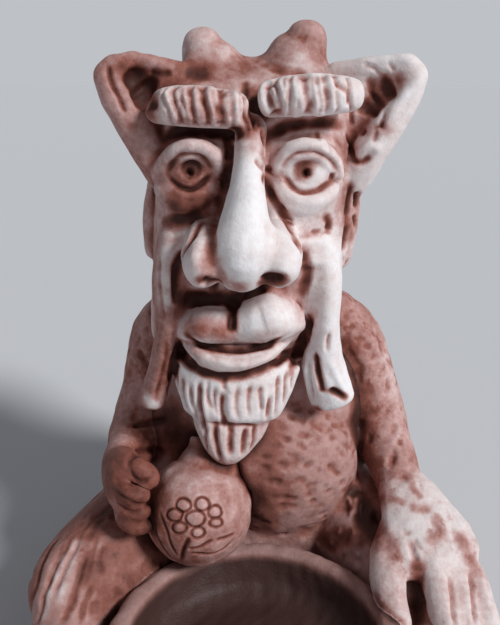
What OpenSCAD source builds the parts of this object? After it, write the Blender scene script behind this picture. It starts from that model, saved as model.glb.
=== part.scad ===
// Seated satyr with a jug behind a round dish, hand-built from luted pieces of clay.
// Origin at the middle of the flat underside, Z up, the figure faces -Y, sizes in millimetres.
// Left and right are the figure's own sides: its left is +X.

/* [Base and dish] */
// Thickness of the slab
base_t = 6; // [4:0.5:8]
// Width of slab that shows outside the pieces on it
base_edge = 1; // [0:0.5:2]
// Radius of the fillets in the outline of the slab
base_fill = 9; // [6:0.5:12]
// Outer radius of the dish at its rim
dish_r = 34.5; // [33:0.5:36]
// Outer radius of the dish at its foot
dish_foot_r = 31; // [28:0.5:32.5]
// Width of the rounded rim
dish_rim = 5; // [4:0.25:6.5]
// Height of the dish above the slab
dish_h = 17; // [15:0.5:19]
// Thickness of the dish floor
dish_floor = 5.5; // [4:0.5:7]
// Distance from the origin forward to the middle of the dish
dish_out = 21; // [19:0.5:23]

/* [Trunk] */
// Width of the seat
hip_w = 71; // [69:0.5:73]
// Width of the chest
chest_w = 64; // [62:0.5:66]
// Depth of the seat from front to back
hip_d = 53; // [51:0.5:55]
// Distance from the origin back to the front of the seat
trunk_front = 14.5; // [13.5:0.5:15.5]
// Height of the top of the trunk
trunk_top = 86; // [84:0.5:89]
// Width of the belly pad
belly_w = 49; // [46:0.5:52]
// Height of the belly pad
belly_h = 47; // [45:0.5:48]
// Depth of the belly pad
belly_d = 36; // [34:0.5:38]
// Height of the middle of the belly
belly_z = 40; // [39:0.25:41]
// Distance from the front of the seat back to the middle of the belly
belly_set = 12.5; // [11.5:0.25:13.5]

/* [Head] */
// Width of the head
head_w = 46; // [44:0.5:48]
// Depth of the head
head_d = 49; // [47:0.5:50]
// Height of the underside of the chin
chin_z = 70; // [68:0.5:72]
// Height of the top of the skull
skull_z = 146; // [144:0.5:148]
// Distance from the origin back to the middle of the head
head_back = 37.5; // [37:0.25:38.5]
// Sideways lean of the face for each millimetre of height
face_lean = 0.08; // [0.04:0.01:0.12]
// Width of a horn at its root
horn_w = 16.4; // [15:0.2:17]
// Height of the horn tips
horn_z = 154.5; // [153:0.5:157]
// How much lower the right horn is
horn_drop = 1.6; // [0:0.2:3]
// Distance between the middles of the two horns
horn_gap = 21; // [19:0.5:23]
// Distance from the middle of the head to an ear tip
ear_reach = 37; // [34:0.5:39]
// Height of the ear tips
ear_z = 144.5; // [142:0.5:146]
// Thickness of the rolled ear rim
ear_rim = 5.6; // [5:0.2:6.6]
// Thickness of the ear leaf
ear_t = 5; // [4:0.25:6]

/* [Face] */
// Height of the middle of the brows above the eyes
brow_up = 13.9; // [13.4:0.1:14.4]
// Height of a brow pad
brow_h = 8.4; // [7.8:0.2:9]
// How much higher the left brow is raised than the right one
brow_lift = 2.4; // [1.8:0.2:3]
// Depth of a brow pad
brow_d = 10; // [9:0.25:11]
// Height of the eyes
eye_z = 122.4; // [121.6:0.1:123.2]
// Distance between the middles of the eyes
eye_gap = 25.8; // [25:0.1:26.6]
// Radius of an eyeball
eye_r = 6.4; // [6:0.1:6.8]
// Depth of the middle of an eyeball behind the face
eye_deep = 4; // [3.6:0.1:4.4]
// Thickness of the slip that an eyeball is set in
eye_slip = 0.18; // [0.17:0.01:0.3]
// Radius of the drilled pupil
pupil_r = 1.1; // [0.8:0.05:1.4]
// Depth of the drilled pupil
pupil_deep = 3; // [2:0.25:4]
// Thickness of an upper eyelid coil
lid_t = 4.4; // [4:0.1:5]
// Height of a lower eyelid with its bag
bag_h = 6.6; // [6:0.2:7.4]
// Width of the bridge of the nose
bridge_w = 7; // [6.4:0.2:8]
// Width of the bulb of the nose
bulb_w = 13.4; // [12.6:0.2:14.4]
// Distance the nose stands out from the face
nose_out = 19.5; // [18.5:0.25:20.5]
// Distance from the eyes down to the middle of the nose bulb
nose_drop = 15.9; // [15:0.1:16.8]
// Width across both nostril wings
wings_w = 26.6; // [25.6:0.2:27.6]
// Distance from the eyes down to the line of the mouth
mouth_drop = 37.9; // [37.2:0.1:38.6]
// Width of the mouth
mouth_w = 28; // [26:0.5:29]
// Height of a lobe of the upper lip
lip_h = 9; // [8.2:0.2:9.6]
// Height of the lower lip
lip_low_h = 7; // [6.2:0.2:7.6]
// Width of a cheek whisker
whisker_w = 7; // [6:0.25:8]
// How much wider the end of the left whisker is than that of the right one
whisker_flare = 4.6; // [3.8:0.2:5.2]
// Height of the whisker ends
whisker_low = 64.5; // [63:0.5:66]
// Height of the lower end of the sidelocks
lock_z = 98; // [97:0.25:99]
// Length of a sidelock
lock_h = 23; // [21:0.5:25]
// Thickness of a sidelock
lock_t = 5; // [4.5:0.25:6]
// Width of the top of the beard
beard_w = 33; // [31:0.5:34]
// Thickness of the beard
beard_t = 15; // [14:0.5:16]
// Height of the tip of the beard
beard_low = 50; // [48.5:0.25:51.5]

/* [Arms and jug] */
// Width of the arms at the shoulder
shoulder_w = 18; // [17:0.25:19.5]
// Width of the arms at the wrist
wrist_w = 12; // [11:0.25:13]
// Thickness of a palm
palm_t = 8.4; // [7.6:0.2:9.2]
// Width of the spread left palm
palm_w = 24; // [22:0.25:25]
// Thickness of a finger of the left hand
finger_t = 7.2; // [6.8:0.1:7.6]
// Thickness of a finger of the right hand
grip_t = 4.6; // [4.2:0.1:5]
// Thickness of a thumb
thumb_t = 6.4; // [5.8:0.1:7]
// Radius of the jug
jug_r = 13.6; // [13:0.1:14.2]
// Radius of the jug neck
neck_r = 6.5; // [6:0.1:7]
// Height of the jug neck above the middle of the jug
neck_h = 17.5; // [16.5:0.25:18.5]
// Lean of the jug to its left in degrees
jug_tilt = 16; // [12:1:20]
// Lean of the jug back against the belly in degrees
jug_back = 30; // [26:1:34]
// Depth of the mouth of the jug
mouth_deep = 3; // [2:0.25:3.75]

/* [Legs] */
// Thickness of the right knee, the bare one
knee_t = 27; // [26:0.25:28.5]
// Thickness of the left knee, the one under the hand
knee_low_t = 25; // [24:0.25:26]
// Thickness of an ankle
ankle_t = 16; // [15:0.25:17]
// Length of a hoof
hoof_l = 17; // [15:0.5:18]
// Width of a hoof
hoof_w = 15; // [14:0.25:16]

/* [Hidden] */
// Colours of the pale clay, the red wash and the dark dish
pale = [0.86, 0.74, 0.68];
wash = [0.62, 0.38, 0.32];
dark = [0.36, 0.25, 0.23];
// Sides of the figure
LEFT = 1;
RIGHT = -1;
// Middle of the trunk from front to back
trunk_back = trunk_front + hip_d / 2;
// Plane of the face
face_y = head_back - head_d / 2;
// Heights of the brows, the nose bulb and the line of the mouth
brow_z = eye_z + brow_up;
nose_z = eye_z - nose_drop;
mouth_z = eye_z - mouth_drop;
// Sideways place of the face midline at eye height, and of the whiskers and the ears
face_x = -1.4;
whisker_x = -1.7;
ear_x = 1.3;
// Middle of the jug, which rests on the back of the dish rim
jug_at = [-14.3, 8, base_t + dish_h + jug_r + 0.2];
// Half the span between the knees
knee_x = 45.5;
// Share of the end of a sweep taken by each ring of its rounded end
DOME = [[0.5, 0.866], [0.866, 0.5]];

// Helpers

function unit(v) = v / norm(v);

function place(s) = [s[0], s[1], s[2]];

// Sideways place of the midline of the face at height z
function mid(z) = face_x + face_lean * (z - eye_z);

// Station of a face coil: offset from the midline, offset from the face plane, height, width, thickness
function on_face(dx, dy, z, w, t) = [mid(z) + dx, face_y + dy, z, w, t];

// Middle of an eyeball
function eye_at(s) = [mid(eye_z) + s * eye_gap / 2, face_y + eye_deep, eye_z];

// Smooth curve through four stations
function curve(a, b, c, d, t) =
    0.5 * (2 * b + (c - a) * t + (2 * a - 5 * b + 4 * c - d) * t * t + (3 * b - a - 3 * c + d) * t * t * t);

// Stations with steps - 1 more between each two
function smooth(s, steps) = let (m = len(s) - 1) [
    for (i = [0 : m - 1], j = [0 : steps - 1])
        curve(s[max(i - 1, 0)], s[i], s[i + 1], s[min(i + 2, m)], j / steps),
    s[m]];

// One ring of a sweep, an ellipse or a squarer oval, with the squareness of its facing half and its back
function ring(at, along, facing, w, t, n, square, back) =
    let (out = unit(facing - along * (facing * along)), side = cross(along, out))
    [for (i = [0 : n - 1]) let (c = cos(360 * i / n), s = sin(360 * i / n), e = 2 / (s < 0 ? back : square))
        at + side * (w / 2 * sign(c) * pow(abs(c), e)) + out * (t / 2 * sign(s) * pow(abs(s), e))];

// Coil or pad of clay through stations [x, y, z, width, thickness] with rounded ends. Upright keeps its rings level.
module sweep(stations, facing = [0, -1, 0], n = 12, square = 2, back = 2, steps = 3, low = -1, high = -1,
        upright = false) {
    s = smooth(stations, steps);
    m = len(s) - 1;
    along = [for (i = [0 : m])
        upright ? [0, 0, 1] : unit(place(s[min(i + 1, m)]) - place(s[max(i - 1, 0)]))];
    tail = low < 0 ? min(s[0][3], s[0][4]) / 2 : low;
    nose = high < 0 ? min(s[m][3], s[m][4]) / 2 : high;
    first = place(s[0]);
    last = place(s[m]);
    rings = [
        for (j = [1, 0]) ring(first - along[0] * tail * DOME[j][0], along[0], facing,
            s[0][3] * DOME[j][1], s[0][4] * DOME[j][1], n, square, back),
        for (i = [0 : m]) ring(place(s[i]), along[i], facing, s[i][3], s[i][4], n, square, back),
        for (j = [0, 1]) ring(last + along[m] * nose * DOME[j][0], along[m], facing,
            s[m][3] * DOME[j][1], s[m][4] * DOME[j][1], n, square, back)];
    q = len(rings);
    points = [for (r = rings) each r, first - along[0] * tail, last + along[m] * nose];
    faces = [
        for (i = [0 : q - 2], j = [0 : n - 1]) let (a = i * n + j, b = i * n + (j + 1) % n)
            each [[a, b, b + n], [a, b + n, a + n]],
        for (j = [0 : n - 1]) [q * n, (j + 1) % n, j],
        for (j = [0 : n - 1]) [q * n + 1, (q - 1) * n + j, (q - 1) * n + (j + 1) % n]];
    polyhedron(points, faces);
}

// Everything below the top of the slab
module ground() translate([-100, -100, base_t - 50]) cube([200, 200, 50]);

// Forms of the pieces before they are fitted to each other

module dish_form() translate([0, -dish_out, base_t]) rotate_extrude($fn = 72) dish_profile();

module dish_profile() {
    r = dish_rim / 2;
    bowl_r = dish_r - dish_rim;
    difference() {
        union() {
            polygon([[0, 0], [dish_foot_r, 0], [dish_r, dish_h - r], [0, dish_h - r]]);
            translate([dish_r - r, dish_h - r]) circle(r = r, $fn = 32);
        }
        polygon([[0, dish_floor], [bowl_r - 7, dish_floor + 0.5], [bowl_r - 2.5, dish_floor + 3],
            [bowl_r, dish_h - r], [bowl_r, dish_h + 1], [0, dish_h + 1]]);
    }
}

module dish_lump() translate([0, -dish_out, base_t])
    cylinder(r1 = dish_foot_r, r2 = dish_r, h = dish_h - dish_rim / 2, $fn = 72);

module torso_form() sweep([
    [0, trunk_back - 0.5, base_t - 3, hip_w - 1, hip_d - 1],
    [0, trunk_back, base_t + 10, hip_w, hip_d],
    [0, trunk_back - 0.5, base_t + 24, hip_w - 1, hip_d - 1],
    [0, trunk_back - 0.5, base_t + 38, (hip_w + chest_w) / 2, hip_d - 5],
    [0, trunk_back + 1, trunk_top - 23, chest_w, hip_d - 9],
    [-1, trunk_back + 0.5, trunk_top - 11, chest_w - 16, hip_d - 18],
    [-1, trunk_back - 2, trunk_top - 3, chest_w - 27, hip_d - 27]],
    n = 24, square = 2.4, back = 2.2, low = 1, high = 3, upright = true);

module belly_form() sweep([
    for (a = [-60, -30, 0, 30, 60])
        [5, trunk_front + belly_set, belly_z + belly_h / 2 * sin(a), belly_w * cos(a), belly_d * cos(a)]],
    n = 20, steps = 2, low = belly_h * 0.067, high = belly_h * 0.067);

module head_form() sweep([
    [mid(chin_z) + 1, head_back - 5.2, chin_z + 2, head_w - 12, head_d - 21.4],
    [mid(chin_z) + 1, head_back - 4, chin_z + 10, head_w - 2, head_d - 9],
    [mid(chin_z + 22) + 1, head_back - 1.5, chin_z + 22, head_w, head_d - 3],
    [mid(chin_z + 38) + 1, head_back, chin_z + 38, head_w, head_d],
    [mid(chin_z + 52) + 1, head_back - 0.5, chin_z + 52, head_w, head_d - 1],
    [mid(skull_z - 14) + 1, head_back - 1.5, skull_z - 13, head_w - 1, head_d - 7],
    [mid(skull_z - 14) + 1, head_back - 3.5, skull_z - 5, head_w - 6, head_d - 17],
    [mid(skull_z - 14) + 1, head_back - 4, skull_z - 2.6, head_w - 14, head_d - 28]],
    n = 36, square = 4.6, back = 2.5, steps = 2, low = 2, high = 2.6, upright = true);

module horn_form(s) {
    top = horn_z - (s == RIGHT ? horn_drop : 0);
    x = s * horn_gap / 2;
    sweep([
        [x - s * 2.2, head_back - 8, skull_z - 8, horn_w + 2, horn_w],
        [x - s * 0.6, head_back - 8.5, top - 9, horn_w - 1, horn_w - 1.5],
        [x + s * 1.2, head_back - 9, top - 4.8, horn_w - 5.6, horn_w - 5.8],
        [x + s * 1.5, head_back - 9.5, top - 3, horn_w - 7.6, horn_w - 7.8]], high = 3);
}

module ear_form(s) {
    r = ear_rim / 2;
    root = ear_x + s * (head_w / 2 - 6);
    tip = ear_x + s * (ear_reach - r);
    cheek = ear_x + s * (head_w / 2 - 2);
    coil([
        [root, head_back - 14, ear_z - 2, r],
        [(root + tip) / 2, head_back - 16.5, ear_z - 0.2, r - 0.2],
        [tip - s * 2, head_back - 18, ear_z, r - 0.1],
        [tip, head_back - 18.5, ear_z - 2, r],
        [tip - s * 2, head_back - 19, ear_z - 7, r + 0.5],
        [tip - s * 5.4, head_back - 19.2, ear_z - 12, r + 1.1],
        [tip - s * 8.6, head_back - 19.2, ear_z - 17.5, r + 1.3],
        [(cheek + tip - s * 8.6) / 2, head_back - 18.6, ear_z - 22, r + 1.2],
        [cheek, head_back - 17.5, ear_z - 26, r + 0.7]]);
    leaf([
        [ear_x + s * (head_w / 2 - 5), head_back - 11.5, ear_z - 12.5, 9.5],
        [ear_x + s * (ear_reach - 11), head_back - 14, ear_z - 9, 8],
        [ear_x + s * (ear_reach - 6), head_back - 16.2, ear_z - 5, 4]]);
}

// Coil of balls [x, y, z, radius], each joined to the next
module coil(balls) for (i = [0 : len(balls) - 2]) hull() for (b = [balls[i], balls[i + 1]])
    translate(place(b)) sphere(r = b[3], $fn = 12);

// Leaf of flat lenses [x, y, z, radius], each joined to the next
module leaf(lenses) for (i = [0 : len(lenses) - 2]) hull() for (b = [lenses[i], lenses[i + 1]])
    translate(place(b)) rotate([90, 0, 0]) cylinder(r = b[3], h = ear_t, center = true, $fn = 12);

module brow_form(s) {
    lift = s == LEFT ? brow_lift : 0;
    sweep([
        on_face(s * 2.8, -1.2, brow_z - 0.8 + lift, brow_h - 1, brow_d - 1),
        on_face(s * 9, -2.4, brow_z + lift, brow_h, brow_d),
        on_face(s * 15.5, -1.8, brow_z + 0.2 + lift, brow_h - 0.2, brow_d),
        on_face(s * (head_w / 2 - 2.5), 1.5, brow_z + lift, brow_h - 1.4, brow_d - 1)],
        square = 2.8, back = 2.8, low = 1.6, high = 1.6);
}

module eyeball_form(s) translate(eye_at(s)) sphere(r = eye_r, $fn = 48);

module eye_socket(s) translate(eye_at(s)) sphere(r = eye_r + eye_slip, $fn = 20);

module upper_lid_form(s) sweep([
    on_face(s * (eye_gap / 2 - 6.7), eye_deep - 4, eye_z + 1, lid_t - 0.6, lid_t),
    on_face(s * (eye_gap / 2 - 3.3), eye_deep - 5.6, eye_z + 4.8, lid_t, lid_t + 0.8),
    on_face(s * (eye_gap / 2 + 1.4), eye_deep - 5.8, eye_z + 5.2, lid_t, lid_t + 0.8),
    on_face(s * (eye_gap / 2 + 5.2), eye_deep - 3.4, eye_z + 2.4, lid_t, lid_t),
    on_face(s * (eye_gap / 2 + 7.2), eye_deep - 1.6, eye_z - 0.8, lid_t - 0.8, lid_t)], n = 10);

module lower_lid_form(s) sweep([
    on_face(s * (eye_gap / 2 - 6.6), eye_deep - 3.4, eye_z - 3.4, bag_h - 2.6, 4.6),
    on_face(s * (eye_gap / 2 - 3), eye_deep - 4.6, eye_z - 6.2, bag_h, 6),
    on_face(s * (eye_gap / 2 + 1.8), eye_deep - 4.4, eye_z - 6.3, bag_h, 6),
    on_face(s * (eye_gap / 2 + 6), eye_deep - 2, eye_z - 4.2, bag_h - 2, 4.6)], n = 10);

module nose_form() sweep([
    on_face(0, -0.5, brow_z - 4.5, bridge_w - 0.4, 9),
    on_face(0, 5.5 - nose_out / 2, eye_z - 0.5, bridge_w, nose_out / 2 + 1),
    on_face(0, 6.5 - nose_out * 0.75, nose_z + 8.5, bridge_w + 2.6, nose_out / 2 + 4),
    on_face(0, 8 - nose_out, nose_z + 1.2, bulb_w, 16),
    on_face(0, 8.5 - nose_out, nose_z - 2.6, bulb_w - 1.6, 13)], n = 16, high = 5.4);

module nostril_form(s) sweep([
    on_face(s * (wings_w / 2 - 5.2), 6.5 - nose_out, nose_z - 2, 9, 10),
    on_face(s * (wings_w / 2 - 5), 11.5 - nose_out, nose_z - 1, 10, 12.5),
    on_face(s * (wings_w / 2 - 5.4), 20 - nose_out, nose_z, 9.6, 12.5)], facing = [0, 0, 1]);

module upper_lip_form() sweep([
    on_face(-mouth_w / 2 + 2.2, 1, mouth_z + 1.4, lip_h - 3.7, 9.5),
    on_face(-mouth_w / 4, -3, mouth_z + lip_h / 2 - 1.3, lip_h - 0.4, 13),
    on_face(-0.6, -1.8, mouth_z + lip_h / 2 - 2, lip_h - 0.6, 11.5),
    on_face(mouth_w / 4 + 0.6, -3, mouth_z + lip_h / 2 + 0.2, lip_h + 2.6, 13.5),
    on_face(mouth_w / 2 - 0.5, 1, mouth_z + 2.7, lip_h - 3.4, 9)]);

module lower_lip_form() sweep([
    on_face(-mouth_w / 2 + 3.4, 1, mouth_z - 2.2, lip_low_h - 2.8, 8.5),
    on_face(-mouth_w / 5, -2.6, mouth_z - lip_low_h / 2 - 1.2, lip_low_h - 0.8, 12),
    on_face(0.3, -3.5, mouth_z - lip_low_h / 2 - 1.7, lip_low_h - 0.6, 12.5),
    on_face(mouth_w / 5, -2.6, mouth_z - lip_low_h / 2 - 1.1, lip_low_h - 0.8, 12),
    on_face(mouth_w / 2 - 2.6, 1, mouth_z - 1.5, lip_low_h - 2.8, 8.5)]);

module whisker_form(s) {
    flare = s == LEFT ? whisker_flare : 0;
    sweep([
        [whisker_x + s * (head_w / 2 - 5.6), face_y + 3.5, mouth_z + 22.5, whisker_w - 1, 9],
        [whisker_x + s * (head_w / 2 - 4), face_y + 3, mouth_z + 12.5, whisker_w + 0.5, 13],
        [whisker_x + s * (head_w / 2 - 4.2), face_y + 2, mouth_z + 1.5, whisker_w, 13],
        [whisker_x + s * (head_w / 2 - 1.8 - flare / 2), face_y + 2.5, mouth_z - 9.5, whisker_w - 0.8 + flare, 11],
        [whisker_x + s * (head_w / 2 + 1.2 - flare / 2), face_y + 3, whisker_low, whisker_w + flare, 8]], high = 2);
}

module sidelock_form(s) {
    tuck = s == RIGHT ? 8 : 0;
    sweep([
        [mid(lock_z + 22) + 1 + s * (head_w / 2 + 0.4), face_y + 10 + tuck, lock_z + lock_h - 3, 7, lock_t],
        [mid(lock_z + 12) + 1 + s * (head_w / 2 + 0.8), face_y + 9 + tuck, lock_z + lock_h / 2, 9, lock_t + 0.6],
        [mid(lock_z + 2) + 1 + s * (head_w / 2 + 0.2), face_y + 8 + tuck, lock_z + 2.5, 7, lock_t]],
        facing = [s, 0, 0], n = 10);
}

module beard_form() sweep([
    [-4.6, face_y + 1, mouth_z - 8.5, beard_w, beard_t],
    [-5, face_y - 0.5, mouth_z - 15, beard_w - 4, beard_t + 1],
    [-5.4, face_y - 2, beard_low + 13.5, beard_w - 9, beard_t - 2]], n = 18, low = 3, high = 2);

module beard_tip_form() sweep([
    [-5.4, face_y, beard_low + 17, beard_w - 12, beard_t - 4],
    [-6, face_y - 1.5, beard_low + 10, beard_w - 14, beard_t - 3],
    [-6.8, face_y - 2.5, beard_low + 4.5, beard_w - 20, beard_t - 4],
    [-7.2, face_y - 2.5, beard_low + 2, beard_w - 24, beard_t - 7]], n = 14, high = 2);

module arm_form(s) {
    lift = s == RIGHT ? 3 : 0;
    inward = s == RIGHT ? 4.2 : 0;
    sweep([
        [s * (22 - inward / 2), trunk_back + 1, 78 + lift / 2, shoulder_w - 2, shoulder_w + 2],
        [s * (28 - inward / 2), trunk_back, 71 + lift / 2, shoulder_w, shoulder_w + 2],
        [s * (33 - inward), trunk_back - 4, 58 + lift / 2, shoulder_w - 1, shoulder_w],
        [s * (36.8 - inward), trunk_back - 10, 46 + lift, shoulder_w - 2.5, shoulder_w - 2],
        [s * (39.5 - inward * 1.3), trunk_back - 20, 38.5 + lift * 2.3, wrist_w + 1, wrist_w + 1]], n = 14);
}

module hand_left_form() sweep([
    [39.8, trunk_back - 21, 38, wrist_w + 1, palm_t + 2],
    [42, 11, 36, palm_w - 6, palm_t + 1],
    [44, 3, 32.4, palm_w, palm_t],
    [45.4, -2, 29.4, palm_w, palm_t - 1.2]], facing = [0, -0.4, 1], n = 14, high = 5);

module thumb_left_form() sweep([
    [37.4, 9, 33.5, thumb_t + 1, thumb_t],
    [33.6, 0, 29.6, thumb_t + 2.4, thumb_t],
    [32.6, -8, 26, thumb_t + 2, thumb_t - 0.4],
    [34.6, -14, 20.8, thumb_t - 1, thumb_t - 1.6]], facing = [-0.3, -0.4, 1]);

module finger_left_form(i) sweep([
    [42.4 + i * 4.8, 1, 31.6 - i, finger_t - 1.4, finger_t - 1.4],
    [44 + i * 5.4, -6.5 + i * 0.8, 27.6 - i * 1.4, finger_t - i * 0.7, finger_t - i * 0.3],
    [45 + i * 5.4, -13.6 + i * 0.9, 22.8 - i * 1.3, finger_t - i * 0.7, finger_t - 1],
    [45.6 + i * 5.2, -21 + i * 0.9, 19.4 - i * 1.2, finger_t - 1.6 - i * 0.5, finger_t - 2.4]],
    facing = [0, -1, 0.5], n = 10);

module hand_right_form() sweep([
    [-34.4, trunk_back - 21, 46, wrist_w + 1, palm_t + 2.5],
    [-34.6, 10, 46.6, wrist_w + 3, palm_t + 0.6],
    [-32.8, 4, 46, wrist_w + 3.5, palm_t - 0.6]], facing = [-1, -0.3, 0], n = 14);

module thumb_right_form() sweep([
    [-33.4, 9, 52, thumb_t - 0.6, thumb_t - 0.6],
    [-29.6, 3.5, 53, thumb_t - 0.4, thumb_t - 0.4],
    [-25.4, 2.2, 50.4, thumb_t - 0.8, thumb_t - 0.8]], facing = [0, 0, 1], n = 10);

module finger_right_form(i) sweep([
    [-33.6, 6, 48.5 - i * 4.3, grip_t, grip_t],
    [-32, 0.5, 48.2 - i * 4.3, grip_t, grip_t],
    [-28.8, -1.5, 47.6 - i * 4.4, grip_t, grip_t],
    [-26.7, -0.6, 47 - i * 4.4, grip_t - 0.8, grip_t - 0.8]], facing = [0, 0, 1], n = 10);

module jug_form() translate(jug_at) rotate([-jug_back, jug_tilt, 0]) rotate_extrude($fn = 60) jug_profile();

module jug_profile() difference() {
    union() {
        intersection() {
            circle(r = jug_r, $fn = 60);
            translate([0, -jug_r]) square([jug_r, 2 * jug_r]);
        }
        polygon([[0, 0], [neck_r + 3, jug_r * 0.6], [neck_r, jug_r + 1.5], [neck_r, neck_h], [0, neck_h]]);
    }
    translate([0, neck_h - mouth_deep]) square([neck_r - 2, mouth_deep + 1]);
}

module thigh_form(s) {
    t = s == RIGHT ? knee_t : knee_low_t;
    up = s == RIGHT ? 4 : 0;
    sweep([
        [s * 26, trunk_back - 11, 20.5 + up / 2, t + 4, t + 9 - up],
        [s * 35.5, 14, 17.5 + up, t + 2, t + 4],
        [s * (knee_x - 1.5), 1, 15 + up, t, t],
        [s * knee_x, -4, 13.5 + up, t - 4, t - 3]], facing = [0, 0, 1], n = 16, high = 7);
}

module shin_form(s) sweep([
    [s * knee_x, -4, 14, knee_low_t - 6, knee_low_t - 5],
    [s * (knee_x - 0.5), -18, 12.5, ankle_t + 3, ankle_t + 3],
    [s * (knee_x - 2), -31, 10.5, ankle_t, ankle_t]], facing = [0, 0, 1], n = 14, high = 5);

module hoof_form(s) sweep([
    [s * (knee_x - 2), -30, 10, hoof_w - 2, 11],
    [s * (knee_x - 2.5), -30 - hoof_l * 0.6, 9.5, hoof_w, 13],
    [s * (knee_x - 3), -30 - hoof_l, 8, hoof_w - 2, 9]],
    facing = [0, 0, 1], n = 12, square = 2.6, back = 2.6, high = 3.5);

// The pieces, each fitted against the ones it is luted to

module base_slab() color(wash) linear_extrude(base_t)
    offset(r = -base_fill, $fn = 48) offset(r = base_fill + base_edge, $fn = 48) {
        translate([0, -dish_out]) circle(r = dish_foot_r, $fn = 72);
        hull() for (s = [LEFT, RIGHT]) translate([s * (hip_w - hip_d) / 2, trunk_back])
            circle(r = hip_d / 2 - 2, $fn = 60);
        for (s = [LEFT, RIGHT]) {
            hull() {
                translate([s * 25, trunk_back - 11]) circle(r = knee_low_t / 2 - 2, $fn = 48);
                translate([s * (knee_x - 1), 0]) circle(r = knee_low_t / 2 - 2, $fn = 48);
            }
            hull() {
                translate([s * (knee_x - 1), 0]) circle(r = knee_low_t / 2 - 2, $fn = 48);
                translate([s * (knee_x - 3), -30 - hoof_l]) circle(r = hoof_w / 2 - 2, $fn = 36);
            }
        }
    }

module dish() color(dark) dish_form();

module torso() color(wash) difference() {
    torso_form();
    ground();
    dish_lump();
}

module belly() color(wash) difference() {
    belly_form();
    torso_form();
    dish_form();
    jug_form();
}

module head() color(pale) difference() {
    head_form();
    torso_form();
    eye_socket(LEFT);
    eye_socket(RIGHT);
}

module horn(s) color(pale) difference() {
    horn_form(s);
    head_form();
}

module ear(s) color(pale) difference() {
    ear_form(s);
    head_form();
    horn_form(s);
    brow_form(s);
    eye_socket(s);
    upper_lid_form(s);
    lower_lid_form(s);
}

module brow(s) color(pale) difference() {
    brow_form(s);
    head_form();
}

module eyeball(s) color(pale) difference() {
    eyeball_form(s);
    translate(eye_at(s) - [0, eye_r - pupil_deep, 0]) rotate([90, 0, 0])
        cylinder(r = pupil_r, h = eye_r, $fn = 24);
}

module upper_lid(s) color(pale) difference() {
    upper_lid_form(s);
    head_form();
    eyeball_form(s);
    brow_form(s);
    nose_form();
}

module lower_lid(s) color(pale) difference() {
    lower_lid_form(s);
    head_form();
    eyeball_form(s);
    upper_lid_form(s);
    nose_form();
}

module nose() color(pale) difference() {
    nose_form();
    head_form();
    brow_form(LEFT);
    brow_form(RIGHT);
}

module nostril(s) color(pale) difference() {
    nostril_form(s);
    head_form();
    nose_form();
}

module upper_lip() color(pale) difference() {
    upper_lip_form();
    head_form();
}

module lower_lip() color(pale) difference() {
    lower_lip_form();
    head_form();
    upper_lip_form();
}

module whisker(s) color(pale) difference() {
    whisker_form(s);
    head_form();
    torso_form();
    upper_lip_form();
    lower_lip_form();
}

module sidelock(s) color(pale) difference() {
    sidelock_form(s);
    head_form();
    ear_form(s);
    whisker_form(s);
}

module beard() color(pale) difference() {
    beard_form();
    head_form();
    torso_form();
    lower_lip_form();
    whisker_form(LEFT);
    whisker_form(RIGHT);
}

module beard_tip() color(pale) difference() {
    beard_tip_form();
    beard_form();
    torso_form();
    belly_form();
    jug_form();
}

module arm(s) color(pale) difference() {
    arm_form(s);
    torso_form();
    head_form();
    belly_form();
}

module hand_left() color(pale) difference() {
    hand_left_form();
    arm_form(LEFT);
    thigh_form(LEFT);
}

module hand_right() color(pale) difference() {
    hand_right_form();
    arm_form(RIGHT);
    jug_form();
}

module thumb_left() color(pale) difference() {
    thumb_left_form();
    hand_left_form();
    thigh_form(LEFT);
    dish_form();
}

module thumb_right() color(pale) difference() {
    thumb_right_form();
    hand_right_form();
    jug_form();
}

module fingers_left() color(pale) for (i = [0 : 2]) difference() {
    finger_left_form(i);
    hand_left_form();
    thigh_form(LEFT);
    shin_form(LEFT);
    if (i > 0) finger_left_form(i - 1);
}

module fingers_right() color(pale) for (i = [0 : 2]) difference() {
    finger_right_form(i);
    hand_right_form();
    jug_form();
    if (i > 0) finger_right_form(i - 1);
}

module jug() color(pale) difference() {
    jug_form();
    dish_form();
    torso_form();
}

module thigh(s) color(wash) difference() {
    thigh_form(s);
    ground();
    dish_lump();
    torso_form();
    belly_form();
    if (s == RIGHT) jug_form();
}

module shin(s) color(wash) difference() {
    shin_form(s);
    ground();
    dish_lump();
    thigh_form(s);
}

module hoof(s) color(wash) difference() {
    hoof_form(s);
    ground();
    dish_lump();
    shin_form(s);
}

base_slab();
dish();
torso();
belly();
head();
horn(LEFT);  // horn_left
horn(RIGHT);  // horn_right
ear(LEFT);  // ear_left
ear(RIGHT);  // ear_right
brow(LEFT);  // brow_left
brow(RIGHT);  // brow_right
eyeball(LEFT);  // eyeball_left
eyeball(RIGHT);  // eyeball_right
upper_lid(LEFT);  // upper_lid_left
upper_lid(RIGHT);  // upper_lid_right
lower_lid(LEFT);  // lower_lid_left
lower_lid(RIGHT);  // lower_lid_right
nose();
nostril(LEFT);  // nostril_left
nostril(RIGHT);  // nostril_right
upper_lip();
lower_lip();
whisker(LEFT);  // whisker_left
whisker(RIGHT);  // whisker_right
sidelock(LEFT);  // sidelock_left
sidelock(RIGHT);  // sidelock_right
beard();
beard_tip();
arm(LEFT);  // arm_left
arm(RIGHT);  // arm_right
hand_left();
hand_right();
thumb_left();
thumb_right();
fingers_left();
fingers_right();
jug();
thigh(LEFT);  // thigh_left
thigh(RIGHT);  // thigh_right
shin(LEFT);  // shin_left
shin(RIGHT);  // shin_right
hoof(LEFT);  // hoof_left
hoof(RIGHT);  // hoof_right
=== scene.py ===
import math

import bpy
import numpy as np
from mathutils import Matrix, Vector
from mathutils.bvhtree import BVHTree


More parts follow.
